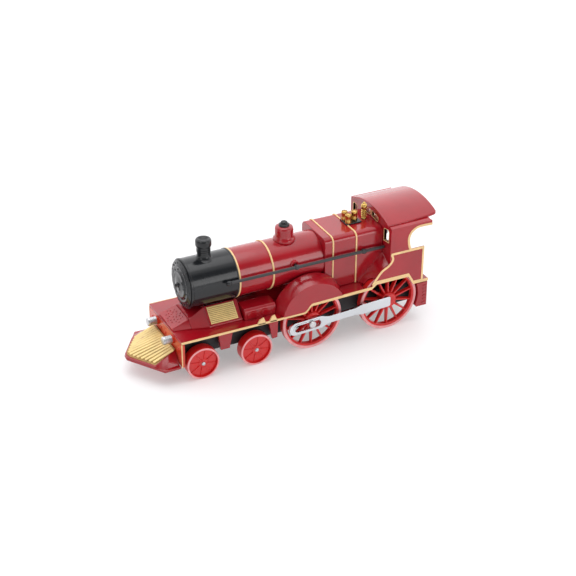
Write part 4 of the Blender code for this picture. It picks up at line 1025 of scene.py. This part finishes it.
def bogie_wheels(index, word):
    """Small axle with a ribbed disc wheel at each end."""
    x = BOGIE_X[index]
    body = word + "_bogie_wheelset"
    centre = (x, 0, BOGIE_R)
    shaft = [(0, 26.75), (0.8, 26.65), (1.15, 26.3), (1.2, 25.9), (1.2, -25.9), (1.15, -26.3),
             (0.8, -26.65), (0, -26.75)]
    axle = turned(f"{word}_bogie_axle_turned", shaft, "+Y", centre, STEEL, 32, smooth=50)
    show(axle, body, [f"{word}_bogie_axle"])
    for hand, side in SIDES:
        axis = outward(side)
        disc = [(1.25, 25.95), (2.0, 25.95), (2.5, 25.7), (2.8, 25.1), (8.7, 24.9), (8.7, 26.1),
                (9.9, 26.1), (10.1, 25.9), (10.1, 20.1), (9.8, 19.7), (8.4, 19.7), (8.1, 20.6),
                (3.0, 20.6), (2.8, 19.8), (1.25, 19.8)]
        parts = [turned("disc", disc, axis, centre, WHEEL_RED, 96, ring=True)]
        ring = [(8.95, 25.9), (9.1, 26.3), (9.75, 26.3), (10.05, 26.0), (10.05, 25.6), (8.95, 25.6)]
        parts.append(turned("ring", ring, axis, centre, RIM_PINK, 96, ring=True))
        parts += spokes(BOGIE_SPOKES, 0.25, 0.15, centre, 2.2, 8.7, 24.7, 25.75, 1.15, 0.75, side)
        wheel = fuse(f"{word}_bogie_wheel_{hand}_moulded", parts)
        show(wheel, body, [f"{word}_bogie_wheel_{hand}"])


def rod_z(x):
    """Height of the side rod's middle line, which falls slightly towards the front."""
    return 20.6 - 0.0483 * (x + 60.0)


def side_rods():
    """Flat plated rod: a wide bar at the rear, a neck, and a slotted loop at the front."""
    stations = [(-63.5, 2.3), (-63.2, 2.9), (-62.5, 3.3), (-44.5, 3.3), (-42.5, 3.0), (-40.0, 2.4),
                (-38.5, 2.3), (-23.5, 2.3), (-21.0, 2.5), (-18.5, 3.3), (-16.8, 3.9), (-15.0, 4.1),
                (0.4, 4.1)]
    tip_x, tip_r = stations[-1]
    nose = [(tip_x + tip_r * math.cos(math.radians(d)), tip_r * math.sin(math.radians(d)))
            for d in range(75, -76, -15)]
    outline = [(x, rod_z(x) + h) for x, h in stations + nose]
    outline += [(x, rod_z(x) - h) for x, h in reversed(stations)]

    def slot(grow):
        """Long hole for the front crank pin, made smaller by grow."""
        points = []
        half = 2.3 - grow
        for centre, start in ((-13.7, 90), (-1.1, -90)):
            for i in range(13):
                angle = math.radians(start + 15 * i)
                x = centre + half * math.cos(angle)
                points.append((x, rod_z(x) + half * math.sin(angle)))
        return points

    for hand, side in SIDES:
        plate = side_prism("rod", [outline, slot(0.0)], side, 25.35, 27.0, SILVER)
        parts = [soften(plate, 0.35, 4)]
        lip = side_prism("lip", [slot(-0.75), slot(-0.05)], side, 26.7, 27.3, SILVER)
        parts.append(soften(lip, 0.2, 3))
        rod = fuse(f"side_rod_{hand}_plated", parts)
        show(rod, "rod_" + hand, ["coupling_rod_" + hand])


# ---- CAD pieces that stay
def keep_cad():
    """Give the CAD pieces that keep their shape the materials of the real ones."""
    for paint, names in (
            (FRAME_BLACK, ("chassis_base", "motor_case_left", "motor_case_right")),
            (NYLON, ("axle_pinion", "compound_gear", "spring_gear")),
            (STEEL, ("mainspring", "body_screw_1", "body_screw_2", "body_screw_3",
                     "front_driving_axle", "rear_driving_axle"))):
        for name in names:
            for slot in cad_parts[name].material_slots:
                slot.material = paint


# ---- light, floor, camera
TO_CAMERA = (0.448, 0.894, 0.0)  # level direction from the loco to the camera
BACK_SKY = (1.5, 1.5, 1.53, 1.0)
# heights in the front half of the sky, from 0 straight down to 1 straight up, and brightness there
FRONT_SKY = [(0.5, 0.95), (0.58, 0.8), (0.66, 0.22), (0.87, 0.16), (0.93, 0.9)]


def area(name, place, target, size, power):
    """Square area light aimed at a point."""
    data = bpy.data.lights.new(name, "AREA")
    data.energy = power
    data.size = size
    data.shape = "SQUARE"
    lamp = bpy.data.objects.new(name, data)
    lamp.location = place
    aim = Vector(target) - Vector(place)
    lamp.rotation_euler = aim.to_track_quat("-Z", "Y").to_euler()
    bpy.context.scene.collection.objects.link(lamp)


def studio():
    """Pale floor, soft lights, and a sky that is bright behind and banded in front."""
    scene = bpy.context.scene
    world = bpy.data.worlds.new("studio")
    scene.world = world
    world.use_nodes = True
    tree = world.node_tree
    sky = tree.nodes["Background"]
    sky.inputs["Strength"].default_value = 1.0
    way = new_node(tree, "TexCoord").outputs["Generated"]
    facing = new_node(tree, "VectorMath", {1: TO_CAMERA}, operation="DOT_PRODUCT")
    front = new_node(tree, "MapRange", {"From Min": -0.25, "From Max": 0.35},
                     interpolation_type="SMOOTHSTEP")
    split = new_node(tree, "SeparateXYZ")
    height = new_node(tree, "MapRange", {"From Min": -1.0})
    ramp = new_node(tree, "ValToRGB")
    rings = ramp.color_ramp.elements
    while len(rings) < len(FRONT_SKY):
        rings.new(0.5)
    for element, (place, level) in zip(rings, FRONT_SKY):
        element.position = place
        element.color = (level, level, level, 1.0)
    blend = new_node(tree, "Mix", {6: BACK_SKY}, data_type="RGBA")
    for output, target in ((way, facing.inputs[0]), (way, split.inputs["Vector"]),
                           (facing.outputs["Value"], front.inputs["Value"]),
                           (split.outputs["Z"], height.inputs["Value"]),
                           (height.outputs["Result"], ramp.inputs["Fac"]),
                           (front.outputs["Result"], blend.inputs[0]),
                           (ramp.outputs["Color"], blend.inputs[7]),
                           (blend.outputs[2], sky.inputs["Color"])):
        tree.links.new(output, target)
    scene.view_settings.view_transform = "Standard"
    scene.view_settings.look = "None"

    floor_paint = bpy.data.materials.new("floor_white")
    floor_paint.use_nodes = True
    fill(floor_paint.node_tree.nodes["Principled BSDF"], {
        "Base Color": (0.66, 0.66, 0.665, 1.0), "Roughness": 0.45, "Specular IOR Level": 0.3,
        "Emission Color": (1.0, 0.99, 0.99, 1.0), "Emission Strength": 0.32})
    shape = bmesh.new()
    bmesh.ops.create_grid(shape, x_segments=1, y_segments=1, size=4.0)
    floor = from_bmesh("floor", shape, floor_paint)

    area("overhead", (0.0, -0.10, 1.1), (0, 0, 0), 0.8, 2.6)
    area("front_fill", (1.0, 0.5, 0.7), (0, 0, 0.04), 0.5, 1.4)
    area("side_fill", (-0.6, 1.2, 0.45), (0, 0, 0.04), 0.6, 3.0)


def camera():
    """Long lens from the front left, looking down at the loco."""
    scene = bpy.context.scene
    data = bpy.data.cameras.new("camera")
    data.sensor_width = 36.0
    data.sensor_fit = "HORIZONTAL"
    data.lens = 88.89
    data.clip_start = 0.01
    data.clip_end = 50.0
    obj = bpy.data.objects.new("camera", data)
    scene.collection.objects.link(obj)
    back = Vector((0.38859, 0.77555, 0.49750)).normalized()
    right = Vector((-0.89512, 0.44581, 0.00420))
    right = (right - back * right.dot(back)).normalized()
    up = back.cross(right)
    turn = Matrix((right, up, back)).transposed().to_4x4()
    obj.matrix_world = Matrix.Translation(Vector((0.32478, 0.66339, 0.45561))) @ turn
    scene.camera = obj


def main():
    for make in (camera, studio, running_plate, front_pad, buffer_beam, pilot, saddle, cylinders,
                 splashers, rear_steps, boiler, chimney, dome, firebox, handrails, valves, cab,
                 roof, cab_inside):
        make()
    for make in (driving_wheels, bogie_wheels):
        for index, word in enumerate(("front", "rear")):
            make(index, word)
    side_rods()
    keep_cad()


main()
